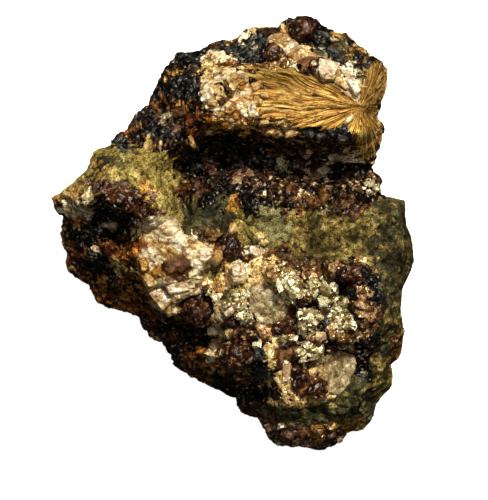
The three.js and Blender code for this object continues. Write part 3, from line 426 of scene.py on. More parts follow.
def drift(points: Array, size: float, seed: int) -> Array:
    """Smooth noise.

    Args:
        points: Places, one row each.
        size: Width of its swells.
        seed: Starting point.

    Returns:
        A number from -1 to 1 for each row.
    """
    place = points / size
    cell = np.floor(place).astype(np.int64)
    part = place - cell
    part = part * part * (3 - 2 * part)
    total = np.zeros(len(points))
    for corner in np.ndindex(2, 2, 2):
        weight = np.prod(np.where(np.array(corner), part, 1 - part), axis=1)
        total += weight * scrambled(cell + np.array(corner), seed)
    return 2 * total - 1


def mottle(points: Array, size: float, seed: int, octaves: int = 3) -> Array:
    """Noise from about -1 to 1 that has finer swells on its swells."""
    layers = [drift(points, size / 2**step, seed + step) / 2**step for step in range(octaves)]
    return np.sum(layers, axis=0) / 1.5


@dataclass
class Grains:
    """Flat-faced grains that fill space, as seen at some points.

    Attributes:
        centre: The middle of each point's grain.
        chance: The grain's own number, from 0 to 1.
        facet: The own number of the flat face that shows there, from 0 to 1.
        level: How far the grain's flat faces stand out at the point, about -0.5 to 0.5.
        inner: How much lower the next grain's faces lie there.
    """

    centre: Array
    chance: Array
    facet: Array
    level: Array
    inner: Array


def grain_faces(kinds: int = 97, faces: int = 6) -> Array:
    """The directions that the faces of a few kinds of grain look in."""
    looks = np.random.default_rng(7).normal(size=(kinds, faces, 3))
    return (looks / np.linalg.norm(looks, axis=2)[:, :, None]).astype(np.float32)


GRAIN_FACES = grain_faces()


def grains(points: Array, size: float | Sequence[float], seed: int) -> Grains:
    """Finds the grain that stands out most at each point.

    Args:
        points: Places, one row each.
        size: Spacing of the grains, or one spacing for each axis.
        seed: Starting point.

    Returns:
        The grains at the points.
    """
    spacing = np.array(size, float) * np.ones(3)
    swell = spacing.min() * 0.8
    ragged = np.stack([drift(points, swell, seed + 30 + axis) for axis in range(3)], axis=1)
    place = points / spacing + 0.12 * ragged
    cell = np.floor(place).astype(np.int64)
    highest = np.full(len(points), -UNSEEN)
    second = np.full(len(points), -UNSEEN)
    owner = np.zeros_like(place)
    shown = np.zeros(len(points), np.int64)
    for step in np.ndindex(3, 3, 3):
        neighbour = cell + np.array(step) - 1
        jitter = np.stack([scrambled(neighbour, seed + axis) for axis in range(3)], axis=1)
        middle = neighbour + 0.08 + 0.84 * jitter
        away = (place - middle).astype(np.float32)
        looks = GRAIN_FACES[(scrambled(neighbour, seed + 5) * len(GRAIN_FACES)).astype(int)]
        reaches = np.einsum("pfa,pa->pf", looks, away)
        reach = np.maximum(reaches.max(axis=1), 0.12 * np.linalg.norm(away, axis=1))
        level = 0.3 * scrambled(neighbour, seed + 20) - reach
        higher = level > highest
        second = np.where(higher, highest, np.maximum(second, level))
        highest = np.where(higher, level, highest)
        owner[higher] = middle[higher]
        shown[higher] = reaches[higher].argmax(axis=1)
    home = np.floor(owner).astype(np.int64)
    facet = (scrambled(home, seed + 21) + GOLDEN * shown) % 1
    return Grains(owner * spacing, scrambled(home, seed + 20), facet, highest + 0.12, highest - second)


@dataclass(frozen=True)
class Relief:
    """Relief of a broken face: one layer of grains.

    Attributes:
        size: Spacing of the grains, or one for each axis.
        seed: Starting point.
        rise: How far the grains stand out.
        crack: How wide the cracks are, as a share of a grain.
    """

    size: float | tuple[float, float, float]
    seed: int
    rise: float = 1.0
    crack: float = 0.08

    def height(self, found: Grains) -> Array:
        """Height of the grains' faces."""
        return found.level * self.rise

    def cracks(self, found: Grains) -> Array:
        """How deep in a crack each point lies, from 0 to 1."""
        return np.exp(-((found.inner / self.crack) ** 2))


# ---- meshes


def points_of(mesh: Mesh) -> Array:
    """The mesh's points in millimetres, one row each."""
    flat = np.empty(len(mesh.vertices) * 3)
    mesh.vertices.foreach_get("co", flat)
    return flat.reshape(-1, 3) / MM


def place_points(mesh: Mesh, points: Array) -> None:
    """Moves the mesh's points to places in millimetres."""
    mesh.vertices.foreach_set("co", (points * MM).ravel())
    mesh.update()


def normals_of(mesh: Mesh) -> Array:
    """The outward direction at each of the mesh's points."""
    flat = np.empty(len(mesh.vertices) * 3, np.float32)
    mesh.vertex_normals.foreach_get("vector", flat)
    return flat.reshape(-1, 3).astype(float)


def mesh_from(name: str, points: Array, faces: Iterable[Sequence[int]]) -> Mesh:
    """Makes a mesh.

    Args:
        name: Its name.
        points: Its points in millimetres, one row each.
        faces: The numbers of each face's points.

    Returns:
        The mesh.
    """
    mesh = bpy.data.meshes.new(name)
    mesh.from_pydata((points * MM).tolist(), [], [tuple(map(int, face)) for face in faces])
    mesh.update()
    return mesh


def new_object(name: str, mesh: Mesh) -> Object:
    """Puts a mesh in the scene as an object at the origin."""
    piece = bpy.data.objects.new(name, mesh)
    bpy.context.scene.collection.objects.link(piece)
    return piece


def discard(piece: Object) -> None:
    """Takes a helper object and its mesh away."""
    mesh = piece.data
    bpy.data.objects.remove(piece)
    bpy.data.meshes.remove(mesh)


def node_copy(name: str) -> Mesh:
    """Copies a node of the frame and merges its loose triangles.

    Args:
        name: The node.

    Returns:
        The closed mesh.
    """
    shell = bmesh.new()
    shell.from_mesh(frame["nodes"][name].data)
    bmesh.ops.remove_doubles(shell, verts=shell.verts, dist=0.001 * MM)
    return moulded(shell, name + "_copy")


def moulded(shape: bmesh.types.BMesh, name: str) -> Mesh:
    """Turns an edited shape, which is used up, into a mesh."""
    mesh = bpy.data.meshes.new(name)
    shape.to_mesh(mesh)
    shape.free()
    return mesh


def baked(piece: Object, name: str) -> Mesh:
    """Makes a plain mesh of what an object's modifiers give.

    Args:
        piece: The object, which stays.
        name: Name of the mesh.

    Returns:
        The mesh.
    """
    graph = bpy.context.evaluated_depsgraph_get()
    mesh = bpy.data.meshes.new_from_object(piece.evaluated_get(graph))
    mesh.name = name
    return mesh


def modified(mesh: Mesh, suffix: str, **steps: dict[str, Any]) -> Mesh:
    """Puts a mesh through modifiers.

    Args:
        mesh: The mesh, which is used up.
        suffix: What its name gets at its end.
        **steps: The settings of each modifier, by its kind.

    Returns:
        The new mesh.
    """
    piece = new_object("in_work", mesh)
    for kind, settings in steps.items():
        step = piece.modifiers.new(kind, kind)
        for name, value in settings.items():
            setattr(step, name, value)
    result = baked(piece, mesh.name + suffix)
    discard(piece)
    return result


def remeshed(mesh: Mesh, voxel: float, smooth: int = 2) -> Mesh:
    """Rebuilds a closed mesh from even small faces.

    Args:
        mesh: The closed mesh, which is used up.
        voxel: Size of the faces.
        smooth: Rounds of smoothing that follow.

    Returns:
        The even mesh.
    """
    even = {"mode": "VOXEL", "voxel_size": voxel * MM}
    return modified(mesh, "_even", REMESH=even, SMOOTH={"factor": 0.5, "iterations": smooth})


def without_scraps(mesh: Mesh, least: int = 20) -> Mesh:
    """Drops the scraps that breaking or cutting left loose.

    Args:
        mesh: The mesh, which is changed.
        least: Fewest points that a separate part of it may have.

    Returns:
        The same mesh.
    """
    ends = np.empty(len(mesh.edges) * 2, np.int32)
    mesh.edges.foreach_get("vertices", ends)
    first, second = ends.reshape(-1, 2).T
    label = np.arange(len(mesh.vertices))
    settled = False
    while not settled:
        lower = label.copy()
        np.minimum.at(lower, first, label[second])
        np.minimum.at(lower, second, label[first])
        lower = lower[lower]
        settled = bool((lower == label).all())
        label = lower
    scraps = np.flatnonzero(np.bincount(label)[label] < least)
    shape = bmesh.new()
    shape.from_mesh(mesh)
    shape.verts.ensure_lookup_table()
    bmesh.ops.delete(shape, geom=[shape.verts[int(index)] for index in scraps], context="VERTS")
    shape.to_mesh(mesh)
    shape.free()
    return mesh


def thinned(mesh: Mesh, share: float) -> Mesh:
    """Merges the faces of a mesh that lie nearly flat.

    Args:
        mesh: The mesh, which is used up.
        share: How many of its triangles stay, from 0 to 1.

    Returns:
        The lighter mesh.
    """
    return without_scraps(modified(mesh, "_light", DECIMATE={"ratio": share}))


def faceted(mesh: Mesh, share: float) -> Mesh:
    """Draws a mesh onto flat facets, and keeps all its points.

    Args:
        mesh: The mesh, which is used up.
        share: How many facets there are for each of its triangles, from 0 to 1.

    Returns:
        The faceted mesh.
    """
    flats = new_object("flats", modified(mesh.copy(), "_flats", DECIMATE={"ratio": share}))
    wrap = {"target": flats, "wrap_method": "NEAREST_SURFACEPOINT"}
    result = modified(mesh, "_faceted", SHRINKWRAP=wrap)
    discard(flats)
    return result


def joined(meshes: Sequence[Mesh], name: str) -> Mesh:
    """Joins meshes into one.

    Args:
        meshes: The meshes, which are used up.
        name: Name of the whole.

    Returns:
        The whole.
    """
    whole = bmesh.new()
    for mesh in meshes:
        whole.from_mesh(mesh)
        bpy.data.meshes.remove(mesh)
    return moulded(whole, name)


def set_value(mesh: Mesh, name: str, values: Array) -> None:
    """Stores one number for each point of the mesh."""
    layer = mesh.attributes.get(name) or mesh.attributes.new(name, "FLOAT", "POINT")
    layer.data.foreach_set("value", values.astype(np.float32))


def set_colour(mesh: Mesh, name: str, colours: Array) -> None:
    """Stores one colour for each point of a mesh.

    Args:
        mesh: The mesh.
        name: Name of the attribute.
        colours: Display colours from 0 to 255, one row each.
    """
    plain = linear(np.clip(colours, 0, 255))
    flat = np.concatenate([plain, np.ones((len(plain), 1))], axis=1)
    layer = mesh.color_attributes.get(name) or mesh.color_attributes.new(name, "FLOAT_COLOR", "POINT")
    layer.data.foreach_set("color", flat.astype(np.float32).ravel())


def linear(colours: Array) -> Array:
    """Turns display colours from 0 to 255 into light."""
    share = colours / 255
    return np.where(share <= 0.04045, share / 12.92, ((share + 0.055) / 1.055) ** 2.4)


def hull(name: str, corners: Sequence[Sequence[float]], scale: float = 1.0) -> Mesh:
    """Makes a flat-faced closed mesh from its corners.

    Args:
        name: Name of the mesh.
        corners: Its corners.
        scale: What the corners are multiplied by.

    Returns:
        The mesh.
    """
    made = bmesh.new()
    for corner in corners:
        made.verts.new([part * scale for part in corner])
    bmesh.ops.convex_hull(made, input=made.verts)
    bmesh.ops.recalc_face_normals(made, faces=made.faces)
    return moulded(made, name)


def skin_of(mesh: Mesh) -> BVHTree:
    """The mesh's faces, ready for rays."""
    return BVHTree.FromPolygons(points_of(mesh).tolist(), [tuple(face.vertices) for face in mesh.polygons])


def columns(points: Array, size: float) -> tuple[tuple[Array, Array], Array]:
    """Sorts points into upright square columns.

    Args:
        points: Places, one row each.
        size: Width of the columns.

    Returns:
        The column of each point, and the height of the highest point in each column.
    """
    bins = np.floor(points[:, :2] / size).astype(int)
    bins -= bins.min(axis=0)
    column = (bins[:, 0], bins[:, 1])
    top = np.full(bins.max(axis=0) + 1, -99.0)
    np.maximum.at(top, column, points[:, 2])
    return column, top


def inside(places: Array, corners: Sequence[tuple[float, float]]) -> Array:
    """Tells which places lie inside an outline in plan.

    Args:
        places: The places, one row each.
        corners: The outline's corners, in order.

    Returns:
        True for each place inside.
    """
    within = np.zeros(len(places), bool)
    x, y = places[:, 0], places[:, 1]
    for (ax, ay), (bx, by) in zip(corners, (*corners[1:], corners[0])):
        if ay == by:
            continue
        crosses = (ay > y) != (by > y)
        within ^= crosses & (x < (bx - ax) * (y - ay) / (by - ay) + ax)
    return within


# ---- tones


def held(values: Any) -> Any:
    """The values, held between 0 and 1."""
    return np.clip(values, 0, 1)


def picked(indices: Array, chance: Array, blend: Array) -> Array:
    """Display colours of minerals.

    Args:
        indices: The mineral's number at each point.
        chance: The grain's own number, which picks the palest mineral tones where it is high.
        blend: A drift of the tone, about -1 to 1.

    Returns:
        One colour for each point.
    """
    looks = [LOOKS[mineral] for mineral in MINERALS]
    palette = np.array([(look.dark, look.main, look.light) for look in looks], float)
    grainy = looked_up(indices, "grainy")
    share = held(0.5 + grainy * (chance - 0.5) + (0.3 + 0.2 * (1 - grainy)) * blend)[:, None]
    tones = palette[indices]
    low = tones[:, 0] + (tones[:, 1] - tones[:, 0]) * np.minimum(share * 2, 1)
    return low + (tones[:, 2] - tones[:, 1]) * np.maximum(share * 2 - 1, 0)


def looked_up(indices: Array, name: str) -> Array:
    """One number of each point's mineral look."""
    return np.array([getattr(LOOKS[mineral], name) for mineral in MINERALS])[indices]


# ---- shaders


class Shade:
    """A number or colour in a material, which plain sums of it turn into nodes."""

    def __init__(self, tree: NodeTree, socket: NodeSocket) -> None:
        """Keeps the tree and the socket that gives the value."""
        self.tree = tree
        self.socket = socket

    def _sum(self, kind: str, first: Any, second: Any) -> Shade:
        """Adds one node of sums."""
        return self.tree.add("ShaderNodeMath", {"operation": kind}, {0: first, 1: second})

    def __add__(self, other: Any) -> Shade:
        """The sum."""
        return self._sum("ADD", self, other)

    def __sub__(self, other: Any) -> Shade:
        """The difference."""
        return self._sum("SUBTRACT", self, other)

    def __mul__(self, other: Any) -> Shade:
        """The product."""
        return self._sum("MULTIPLY", self, other)


class NodeTree:
    """Builds the nodes of a material or of a modifier."""

    def __init__(self, tree: bpy.types.NodeTree) -> None:
        """Starts on an empty tree."""
        self.tree = tree
        tree.nodes.clear()

    def add(self, kind: str, settings: dict[str, Any] | None = None, inputs: dict[Any, Any] | None = None,
            output: Any = 0) -> Shade:
        """Adds a node.

        Args:
            kind: The node's type.
            settings: What is set on the node itself, first.
            inputs: Values or links of its sockets, by name or number.
            output: The socket that is given back.

        Returns:
            The output, ready for sums.
        """
        node = self.tree.nodes.new(kind)
        for name, value in (settings or {}).items():
            setattr(node, name, value)
        for name, value in (inputs or {}).items():
            if isinstance(value, Shade):
                self.tree.links.new(value.socket, node.inputs[name])
            else:
                node.inputs[name].default_value = value
        return Shade(self, node.outputs[output]) if len(node.outputs) else Shade(self, None)

    def chance(self, low: Any, high: Any, seed: int) -> Shade:
        """A random number for each thing that repeats."""
        inputs = {2: low, 3: high, "Seed": seed}
        return self.add("FunctionNodeRandomValue", {"data_type": "FLOAT"}, inputs, 1)

    def mixed(self, share: Any, first: Any, second: Any, kind: str = "MIX") -> Shade:
        """Mixes two colours."""
        inputs = {0: share, 6: first, 7: second}
        return self.add("ShaderNodeMix", {"data_type": "RGBA", "blend_type": kind}, inputs, 2)

    def ranged(self, value: Shade, low: float, high: float, to_low: float = 0.0,
               to_high: float = 1.0) -> Shade:
        """Stretches a value from one range to another, and stops at its ends."""
        inputs = {0: value, 1: low, 2: high, 3: to_low, 4: to_high}
        return self.add("ShaderNodeMapRange", {"clamp": True}, inputs)

    def noise(self, where: Shade, scale: float, detail: float) -> Shade:
        """Cloudy noise from 0 to 1."""
        inputs = {"Vector": where, "Scale": scale, "Detail": detail, "Roughness": 0.6}
        return self.add("ShaderNodeTexNoise", {}, inputs)

    def bump(self, height: Shade, depth: float, **inputs: Shade) -> Shade:
        """Turns a height into relief, which may lie on a relief given as Normal."""
        given = {"Height": height, "Distance": depth * MM, "Strength": 1.0, **inputs}
        return self.add("ShaderNodeBump", {}, given)

    def stored(self, geometry: Shade, name: str, kind: str, value: Shade) -> Shade:
        """Stores a value under a name for each instance."""
        inputs = {0: geometry, "Name": name, "Value": value}
        return self.add("GeometryNodeStoreNamedAttribute", {"data_type": kind, "domain": "INSTANCE"}, inputs)


SHADOW = (0.12, 0.08, 0.05, 1.0)  # what the finest hollows leave of the tone
SPECK_SHADE = (0.22, 0.17, 0.11, 1.0)  # painted shade: what the broader dark specks leave of it
PAINTED_GLINT = (0.42, 0.36, 0.28, 1.0)  # the small pale flecks, which are painted glints
PAINTED_GLINT_SIZE = 0.42  # width of the cells that carry them
CRUMPLE_SIZE = 0.75  # width of a metal's small crystal faces


@dataclass(frozen=True)
class StoneFinish:
    """A finish with its tone, roughness and metal from the mesh, which adds what is finer than the mesh.

    Attributes:
        name: Name of the material.
        speck: Size of the fine specks.
        contrast: How far the specks lighten and darken the tone: painted highlight and shade on the bump.
        bump: Depth of the fine relief.
        specular: Strength of the plain reflection.
        crumple: Depth of the small crystal faces of a metal.
        painted_glints: How strongly small pale flecks, painted glints, show on its glossy grains.
    """

    name: str
    speck: float = 0.25
    contrast: float = 0.95
    bump: float = 0.1
    specular: float = 0.3
    crumple: float = 0.0
    painted_glints: float = 0.0

    def material(self) -> Material:
        """Builds the material.

        Returns:
            The material.
        """
        made = bpy.data.materials.new(self.name)
        made.use_nodes = True
        nodes = NodeTree(made.node_tree)
        where = nodes.add("ShaderNodeTexCoord", output="Object")
        fine = nodes.noise(where, 1 / (self.speck * MM), 3.0)
        broad = nodes.noise(where, 0.28 / (self.speck * MM), 2.0)
        tone = nodes.add("ShaderNodeAttribute", {"attribute_name": "tone"}, output="Color")
        rough = nodes.add("ShaderNodeAttribute", {"attribute_name": "rough"}, output="Fac")
        metal = nodes.add("ShaderNodeAttribute", {"attribute_name": "metal"}, output="Fac")
        # The specks follow the bump's own noise: the tone is made paler on its tops as painted highlight,
        # and darker in its hollows as painted shade.
        pale = nodes.add("ShaderNodeVectorMath", {"operation": "SCALE"}, {0: tone, 3: 1.9})
        speck_highlighted = nodes.mixed(nodes.ranged(fine, 0.5, 0.68, 0.0, self.contrast), tone, pale)
        deep = nodes.mixed(nodes.ranged(fine, 0.5, 0.32, 0.0, self.contrast), speck_highlighted, SHADOW, "MULTIPLY")
        colour = nodes.mixed(nodes.ranged(broad, 0.5, 0.32, 0.0, self.contrast), deep, SPECK_SHADE, "MULTIPLY")
        normal = nodes.bump(fine * 0.6 + broad, self.bump)
        if self.crumple:
            facets = nodes.add("ShaderNodeTexVoronoi", {"feature": "F1", "distance": "CHEBYCHEV"}, {
                "Vector": where, "Scale": 1 / (CRUMPLE_SIZE * MM), "Randomness": 1.0})
            normal = nodes.bump(facets, self.crumple, Normal=normal)
        # Painted glints: small pale flecks on the glossy grains, where the roughness is low.
        cells = nodes.add("ShaderNodeTexVoronoi", {"feature": "F1"}, {
            "Vector": where, "Scale": 1 / (PAINTED_GLINT_SIZE * MM)}, "Color")
        glossy = nodes.ranged(rough, 0.44, 0.34, 0.0, self.painted_glints)
        glossy = glossy * nodes.ranged(broad, 0.42, 0.6)
        colour = nodes.mixed(nodes.ranged(cells, 0.76, 0.78) * glossy, colour, PAINTED_GLINT)
        shell = nodes.add("ShaderNodeBsdfPrincipled", {}, {
            "Base Color": colour,
            "Roughness": nodes.ranged(rough + (fine - 0.5) * 0.3, 0.0, 1.0),
            "Metallic": metal,
            "Normal": normal,
            "Specular IOR Level": self.specular,
        })
        nodes.add("ShaderNodeOutputMaterial", {}, {"Surface": shell})
        return made


# ---- the rock


FULL_SHADE_DEPTH = 0.6  # how deep the relief is where its painted shade is darkest


@dataclass
class Dressing:
    """Tone, roughness and metal at each point of a mesh.

    Attributes:
        colour: Display colours from 0 to 255, one row each.
        rough: Roughness, from 0 to 1.
        metal: How metallic it is, from 0 to 1.
    """

    colour: Array
    rough: Array
    metal: Array

    def store(self, mesh: Mesh) -> None:
        """Writes the dressing to a mesh."""
        set_colour(mesh, "tone", self.colour)
        set_value(mesh, "rough", np.clip(self.rough, 0.05, 1))
        set_value(mesh, "metal", held(self.metal))


def finish_piece(piece: Object, material: Material,
                 nodes: Sequence[str] = ()) -> None:
    """Dresses a piece and fixes it to the specimen.

    Args:
        piece: The finished object.
        material: Its finish.
        nodes: The nodes that it stands for.
    """
    place_in_box(piece.data)
    piece.data.materials.clear()
    piece.data.materials.append(material)
    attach(piece, BODY)
    if nodes:
        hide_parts(*nodes)
    log.info("%s: %d faces", piece.name, len(piece.data.polygons))


def kept_in_box(points: Array) -> Array:
    """Holds points inside the frame's box."""
    low, high = (np.array(corner) / MM for corner in CAD_BOX)
    return np.clip(points, low, high)


def place_in_box(mesh: Mesh) -> Array:
    """Holds a mesh's points inside the frame's box, and gives them back, one row each."""
    points = kept_in_box(points_of(mesh))
    place_points(mesh, points)
    return points


def patched(chosen: Array, where: Array, chance: Array, open_face: Array,
            among: Sequence[Mineral] = MINERALS) -> None:
    """Lets the small patches show on a face.

    Args:
        chosen: The mineral's number at each point, which the patches change.
        where: Where each point's grain lies.
        chance: The grains' own numbers, which ragged the patches' edges.
        open_face: Which points may change.
        among: The minerals whose patches may show.
    """
    for patch in PATCHES:
        if patch.mineral not in among:
            continue
        turn = math.radians(patch.turn)
        x = where[:, 0] - patch.x
        y = where[:, 1] - patch.y
        along = (x * math.cos(turn) + y * math.sin(turn)) / patch.along
        across = (y * math.cos(turn) - x * math.sin(turn)) / patch.across
        spot = along**2 + across**2 < 1 + 0.6 * (chance - 0.5)
        chosen[spot & open_face] = NUMBERS[patch.mineral]


@dataclass
class RockBody:
    """The rock itself, with every pocket filled under its mineral.

    Attributes:
        voxel: Size of its small faces.
        light: How many of them stay.
        blocks: Relief of its coarse grains.
        crumbs: Relief of its fine grains.
        fill: How far the copies that fill the pockets are widened, and half as far as they are sunk.
        deep: How far below the face the walls begin to take their own mixtures.
        column: Width of the columns in which that depth is told.
        whole: How far a grain shows its middle's mineral, from 0 to 1.
        stray: How far the edges of zones wander.
        foot: Height over which the relief fades to the flat foot.
        wall: How much of the relief the steep walls show.
        facets: How many flat facets there are for each small face.
        base_share: How many of the faces, from the lowest up, go to the base.
    """

    voxel: float = 0.25
    light: float = 0.78
    blocks: Relief = field(default_factory=lambda: Relief(2.5, 100, 2.6))
    crumbs: Relief = field(default_factory=lambda: Relief(1.15, 200, 1.3))
    fill: float = 0.38
    deep: float = 5.5
    column: float = 0.8
    whole: float = 0.8
    stray: float = 0.5
    foot: float = 1.2
    wall: float = 0.6
    facets: float = 0.1
    base_share: float = 0.34

    def base(self) -> Mesh:
        """Joins the rock and sunk copies of its minerals, and rebuilds them as one skin.

        Returns:
            The skin.
        """
        shells = [node_copy(ROCK)]
        for name in frame["nodes"]:
            if name == ROCK:
                continue
            shell = node_copy(name)
            points = points_of(shell) + normals_of(shell) * self.fill
            points[:, 2] -= self.fill * 2
            place_points(shell, points)
            shells.append(shell)
        return remeshed(joined(shells, "rock"), self.voxel)

    def minerals(self, points: Array, coarse: Grains, fine: Grains) -> Array:
        """Chooses the mineral that shows at each point.

        Args:
            points: The skin's points.
            coarse: Its coarse grains.
            fine: Its fine grains.

        Returns:
            The mineral's number for each point.
        """
        wander = [drift(fine.centre, 1.7, 31), drift(fine.centre, 1.7, 32), np.zeros(len(points))]
        where = points + (fine.centre - points) * self.whole + self.stray * np.stack(wander, axis=1)
        chance = (fine.chance * 7.31 + coarse.chance * 3.17) % 1
        chosen = np.full(len(points), NUMBERS[M.SKARN])
        column, top = columns(points, self.column)
        depth = top[column] - points[:, 2] + 1.5 * drift(points, 3.5, 33)
        self._fill(chosen, DEEP_ZONES, where, chance)
        shown = depth < self.deep
        upper = chosen[shown]
        self._fill(upper, ZONES, where[shown], chance[shown])
        chosen[shown] = upper
        patched(chosen, where, fine.chance, depth < self.deep)
        return chosen

    @staticmethod
    def _fill(chosen: Array, zones: Sequence[Zone], where: Array, chance: Array) -> None:
        """Picks each grain's mineral from the mixture of the last zone that it lies in.

        Args:
            chosen: The mineral's number at each point, which the zones change.
            zones: The zones.
            where: Where each point's grain lies.
            chance: The grains' own numbers.
        """
        for zone in zones:
            mixture = np.array([NUMBERS[mineral] for mineral in zone.mixture])
            within = inside(where, zone.corners)
            chosen[within] = mixture[(chance[within] * len(mixture)).astype(int)]

    def build(self) -> tuple[Mesh, Array]:
        """Breaks the skin into grains and dresses it, with painted shade in the hollows of its relief.

        Returns:
            The mesh, and the number of the mineral at each of its points.
        """
        mesh = self.base()
        points = points_of(mesh)
        normals = normals_of(mesh)
        coarse = grains(points, self.blocks.size, self.blocks.seed)
        fine = grains(points, self.crumbs.size, self.crumbs.seed)
        chosen = self.minerals(points, coarse, fine)
        block, crumb, seam = (looked_up(chosen, name) for name in ("block", "crumb", "seam"))
        cracks = 0.6 * self.blocks.cracks(coarse) + self.crumbs.cracks(fine)
        rise = block * self.blocks.height(coarse) + crumb * self.crumbs.height(fine) - seam * cracks
        rise += 0.1 * mottle(points, 1.1, 300)
        shown = held((points[:, 2] - 0.15) / self.foot)
        shown *= self.wall + (1 - self.wall) * held(normals[:, 2] * 2)
        moved = points + normals * (rise * shown)[:, None]
        place_points(mesh, kept_in_box(moved))
        mesh = faceted(mesh, self.facets)
        # Painted shade: where the relief sinks, the tone is darkened, more in blue than in red for warm
        # shadows, and the metal fades.
        painted_shade = held(-(rise + 0.1) / FULL_SHADE_DEPTH)
        tone = 0.3 * fine.chance + 0.35 * fine.facet + 0.35 * coarse.facet
        tone = held(0.5 + 1.5 * (tone - 0.5))
        colour = picked(chosen, tone, mottle(points, 2.2, 310) + 0.8 * mottle(points, 0.7, 320))
        colour *= held(1 - 0.88 * painted_shade[:, None] * SHADE_TINT)
        rough = looked_up(chosen, "rough") + 0.2 * (coarse.facet - 0.5)
        metal = looked_up(chosen, "metal") * (1 - painted_shade)
        Dressing(colour, rough, metal).store(mesh)
        return mesh, chosen

    def split(self, mesh: Mesh) -> dict[str, Object]:
        """Parts the skin into the two ends of the shown face, and the walls and foot below it.

        Args:
            mesh: The dressed skin.

        Returns:
            The objects by name.
        """
        middles = np.empty(len(mesh.polygons) * 3)
        mesh.polygons.foreach_get("center", middles)
        away, height = middles.reshape(-1, 3)[:, 1:].T
        low = height < np.quantile(height, self.base_share)
        far = away > np.median(away[~low])
        kept = {"skarn_base": low, "skarn_far_face": ~low & far, "skarn_near_face": ~low & ~far}
        made = {}
        for name, keep in kept.items():
            part = bmesh.new()
            part.from_mesh(mesh)
            part.faces.ensure_lookup_table()
            others = [face for face in part.faces if not keep[face.index]]
            bmesh.ops.delete(part, geom=others, context="FACES")
            made[name] = new_object(name, without_scraps(moulded(part, name)))
        bpy.data.meshes.remove(mesh)
        return made

    def make(self, material: Material, ground: Ground) -> None:
        """Builds, dresses and fixes the rock, and offers it to the grains.

        Args:
            material: Its finish.
            ground: The faces that grains stand on, which the rock joins.
        """
        mesh, chosen = self.build()
        ground.take(mesh, chosen)
        ground.skin = skin_of(mesh)
        for piece in self.split(thinned(mesh, self.light)).values():
            finish_piece(piece, material, [ROCK])


# ---- forms of small crystals


@dataclass(frozen=True)
class Form:
    """Form of a small crystal: a prism with slanted ends.

    Attributes:
        length, width, height: Its sizes, with the crystal about one unit across.
        slant: How far its ends lean.
        taper: How far its upper face draws in.
    """

    length: float
    width: float
    height: float
    slant: float = 0.0
    taper: float = 0.0

    def corners(self) -> list[tuple[float, float, float]]:
        """Works out the crystal's corners.

        Returns:
            The corners.
        """
        made = []
        for end in (-1, 1):
            for side in (-1, 1):
                x, y = end * self.length / 2, side * self.width / 2
                inner = 1 - self.taper
                made.append((x - self.slant / 2, y, -self.height / 2))
                made.append((x * inner + self.slant / 2, y * inner, self.height / 2))
        return made


def chip_corners(seed: int) -> list[tuple[float, float, float]]:
    """Makes the corners of an irregular flat-faced chip.

    Args:
        seed: Starting point.

    Returns:
        Its nine corners, with the chip about one unit across.
    """
    picks = np.random.default_rng(seed).normal(size=(9, 3))
    picks /= np.linalg.norm(picks, axis=1)[:, None]
    return [tuple(corner) for corner in picks * np.array([0.55, 0.45, 0.42])]


CHIPS = tuple(chip_corners(seed) for seed in range(1, 7))
RHOMBS = (Form(0.9, 0.75, 0.6, 0.28).corners(), Form(0.8, 0.8, 0.5, 0.2).corners(),
          Form(1.1, 0.55, 0.5, 0.3).corners())
PRISMS = (Form(1.3, 0.42, 0.36, 0.16).corners(), Form(1.1, 0.5, 0.4, 0.1, 0.2).corners())
BLADES = (Form(1.0, 0.05, 0.03, 0.1, 0.4).corners(), Form(1.0, 0.065, 0.03, -0.08, 0.3).corners())
WEDGES = (Form(1.0, 0.75, 0.6, 0.2, 0.5).corners(), Form(0.9, 0.85, 0.7, 0.0, 0.62).corners(),
          Form(1.15, 0.6, 0.55, 0.3, 0.35).corners())


@dataclass(frozen=True)
class Pile:
    """Crystals that stand in a pile on a mass.

    Attributes:
        shapes: Corners of their forms, each about one unit across.
        size: Their smallest and largest size.
        gap: Their spacing.
        tilt: How far they lean off the face, in degrees.
        sink: How far their middles lie below the face, as a share of their size.
        upward: How far up a face looks that they stand on, from -1 to 1.
    """

    shapes: Sequence[Sequence[Sequence[float]]]
    size: tuple[float, float]
    gap: float
    tilt: float = 30.0
    sink: float = 0.2
    upward: float = 0.3

    def grown(self, shell: Mesh, seed: int) -> tuple[Mesh, Array]:
        """Stands the crystals on a closed shell.

        Args:
            shell: The shell, which is used up.
            seed: Starting point.

        Returns:
            The shell with its crystals, and the middle and size of each crystal, one row each.
        """
        picks = np.random.default_rng(seed)
        points = points_of(shell)
        shell.calc_loop_triangles()
        first, second, third = points[np.array([tuple(face.vertices) for face in shell.loop_triangles]).T]
        across = np.cross(second - first, third - first)
        area = np.linalg.norm(across, axis=1) / 2
        normals = across / (2 * area[:, None] + 1e-9)
        area = area * (normals[:, 2] > self.upward)
        count = max(2, int(area.sum() / self.gap**2))
        chosen = picks.choice(len(area), count, p=area / area.sum())
        share = picks.random((count, 2))
        share = np.where(share.sum(axis=1)[:, None] > 1, 1 - share, share)
        along, aside = share[:, :1] * (second - first)[chosen], share[:, 1:] * (third - first)[chosen]
        place = first[chosen] + along + aside
        size = picks.uniform(*self.size, count)
        place = place - normals[chosen] * (self.sink * size)[:, None]
        lean = math.radians(self.tilt)
        meshes = [shell]
        for number in range(count):
            turn = Vector(normals[chosen[number]]).to_track_quat("Z", "Y").to_matrix()
            turn = turn @ Euler((*picks.uniform(-lean, lean, 2), picks.uniform(0, 2 * math.pi))).to_matrix()
            form = np.array(self.shapes[number % len(self.shapes)])
            corners = form * size[number] * picks.uniform(0.75, 1.15, 3)
            meshes.append(hull("crystal", corners @ np.array(turn).T + place[number], MM))
        return joined(meshes, shell.name + "_pile"), np.column_stack([place, size])


# ---- minerals set in the rock


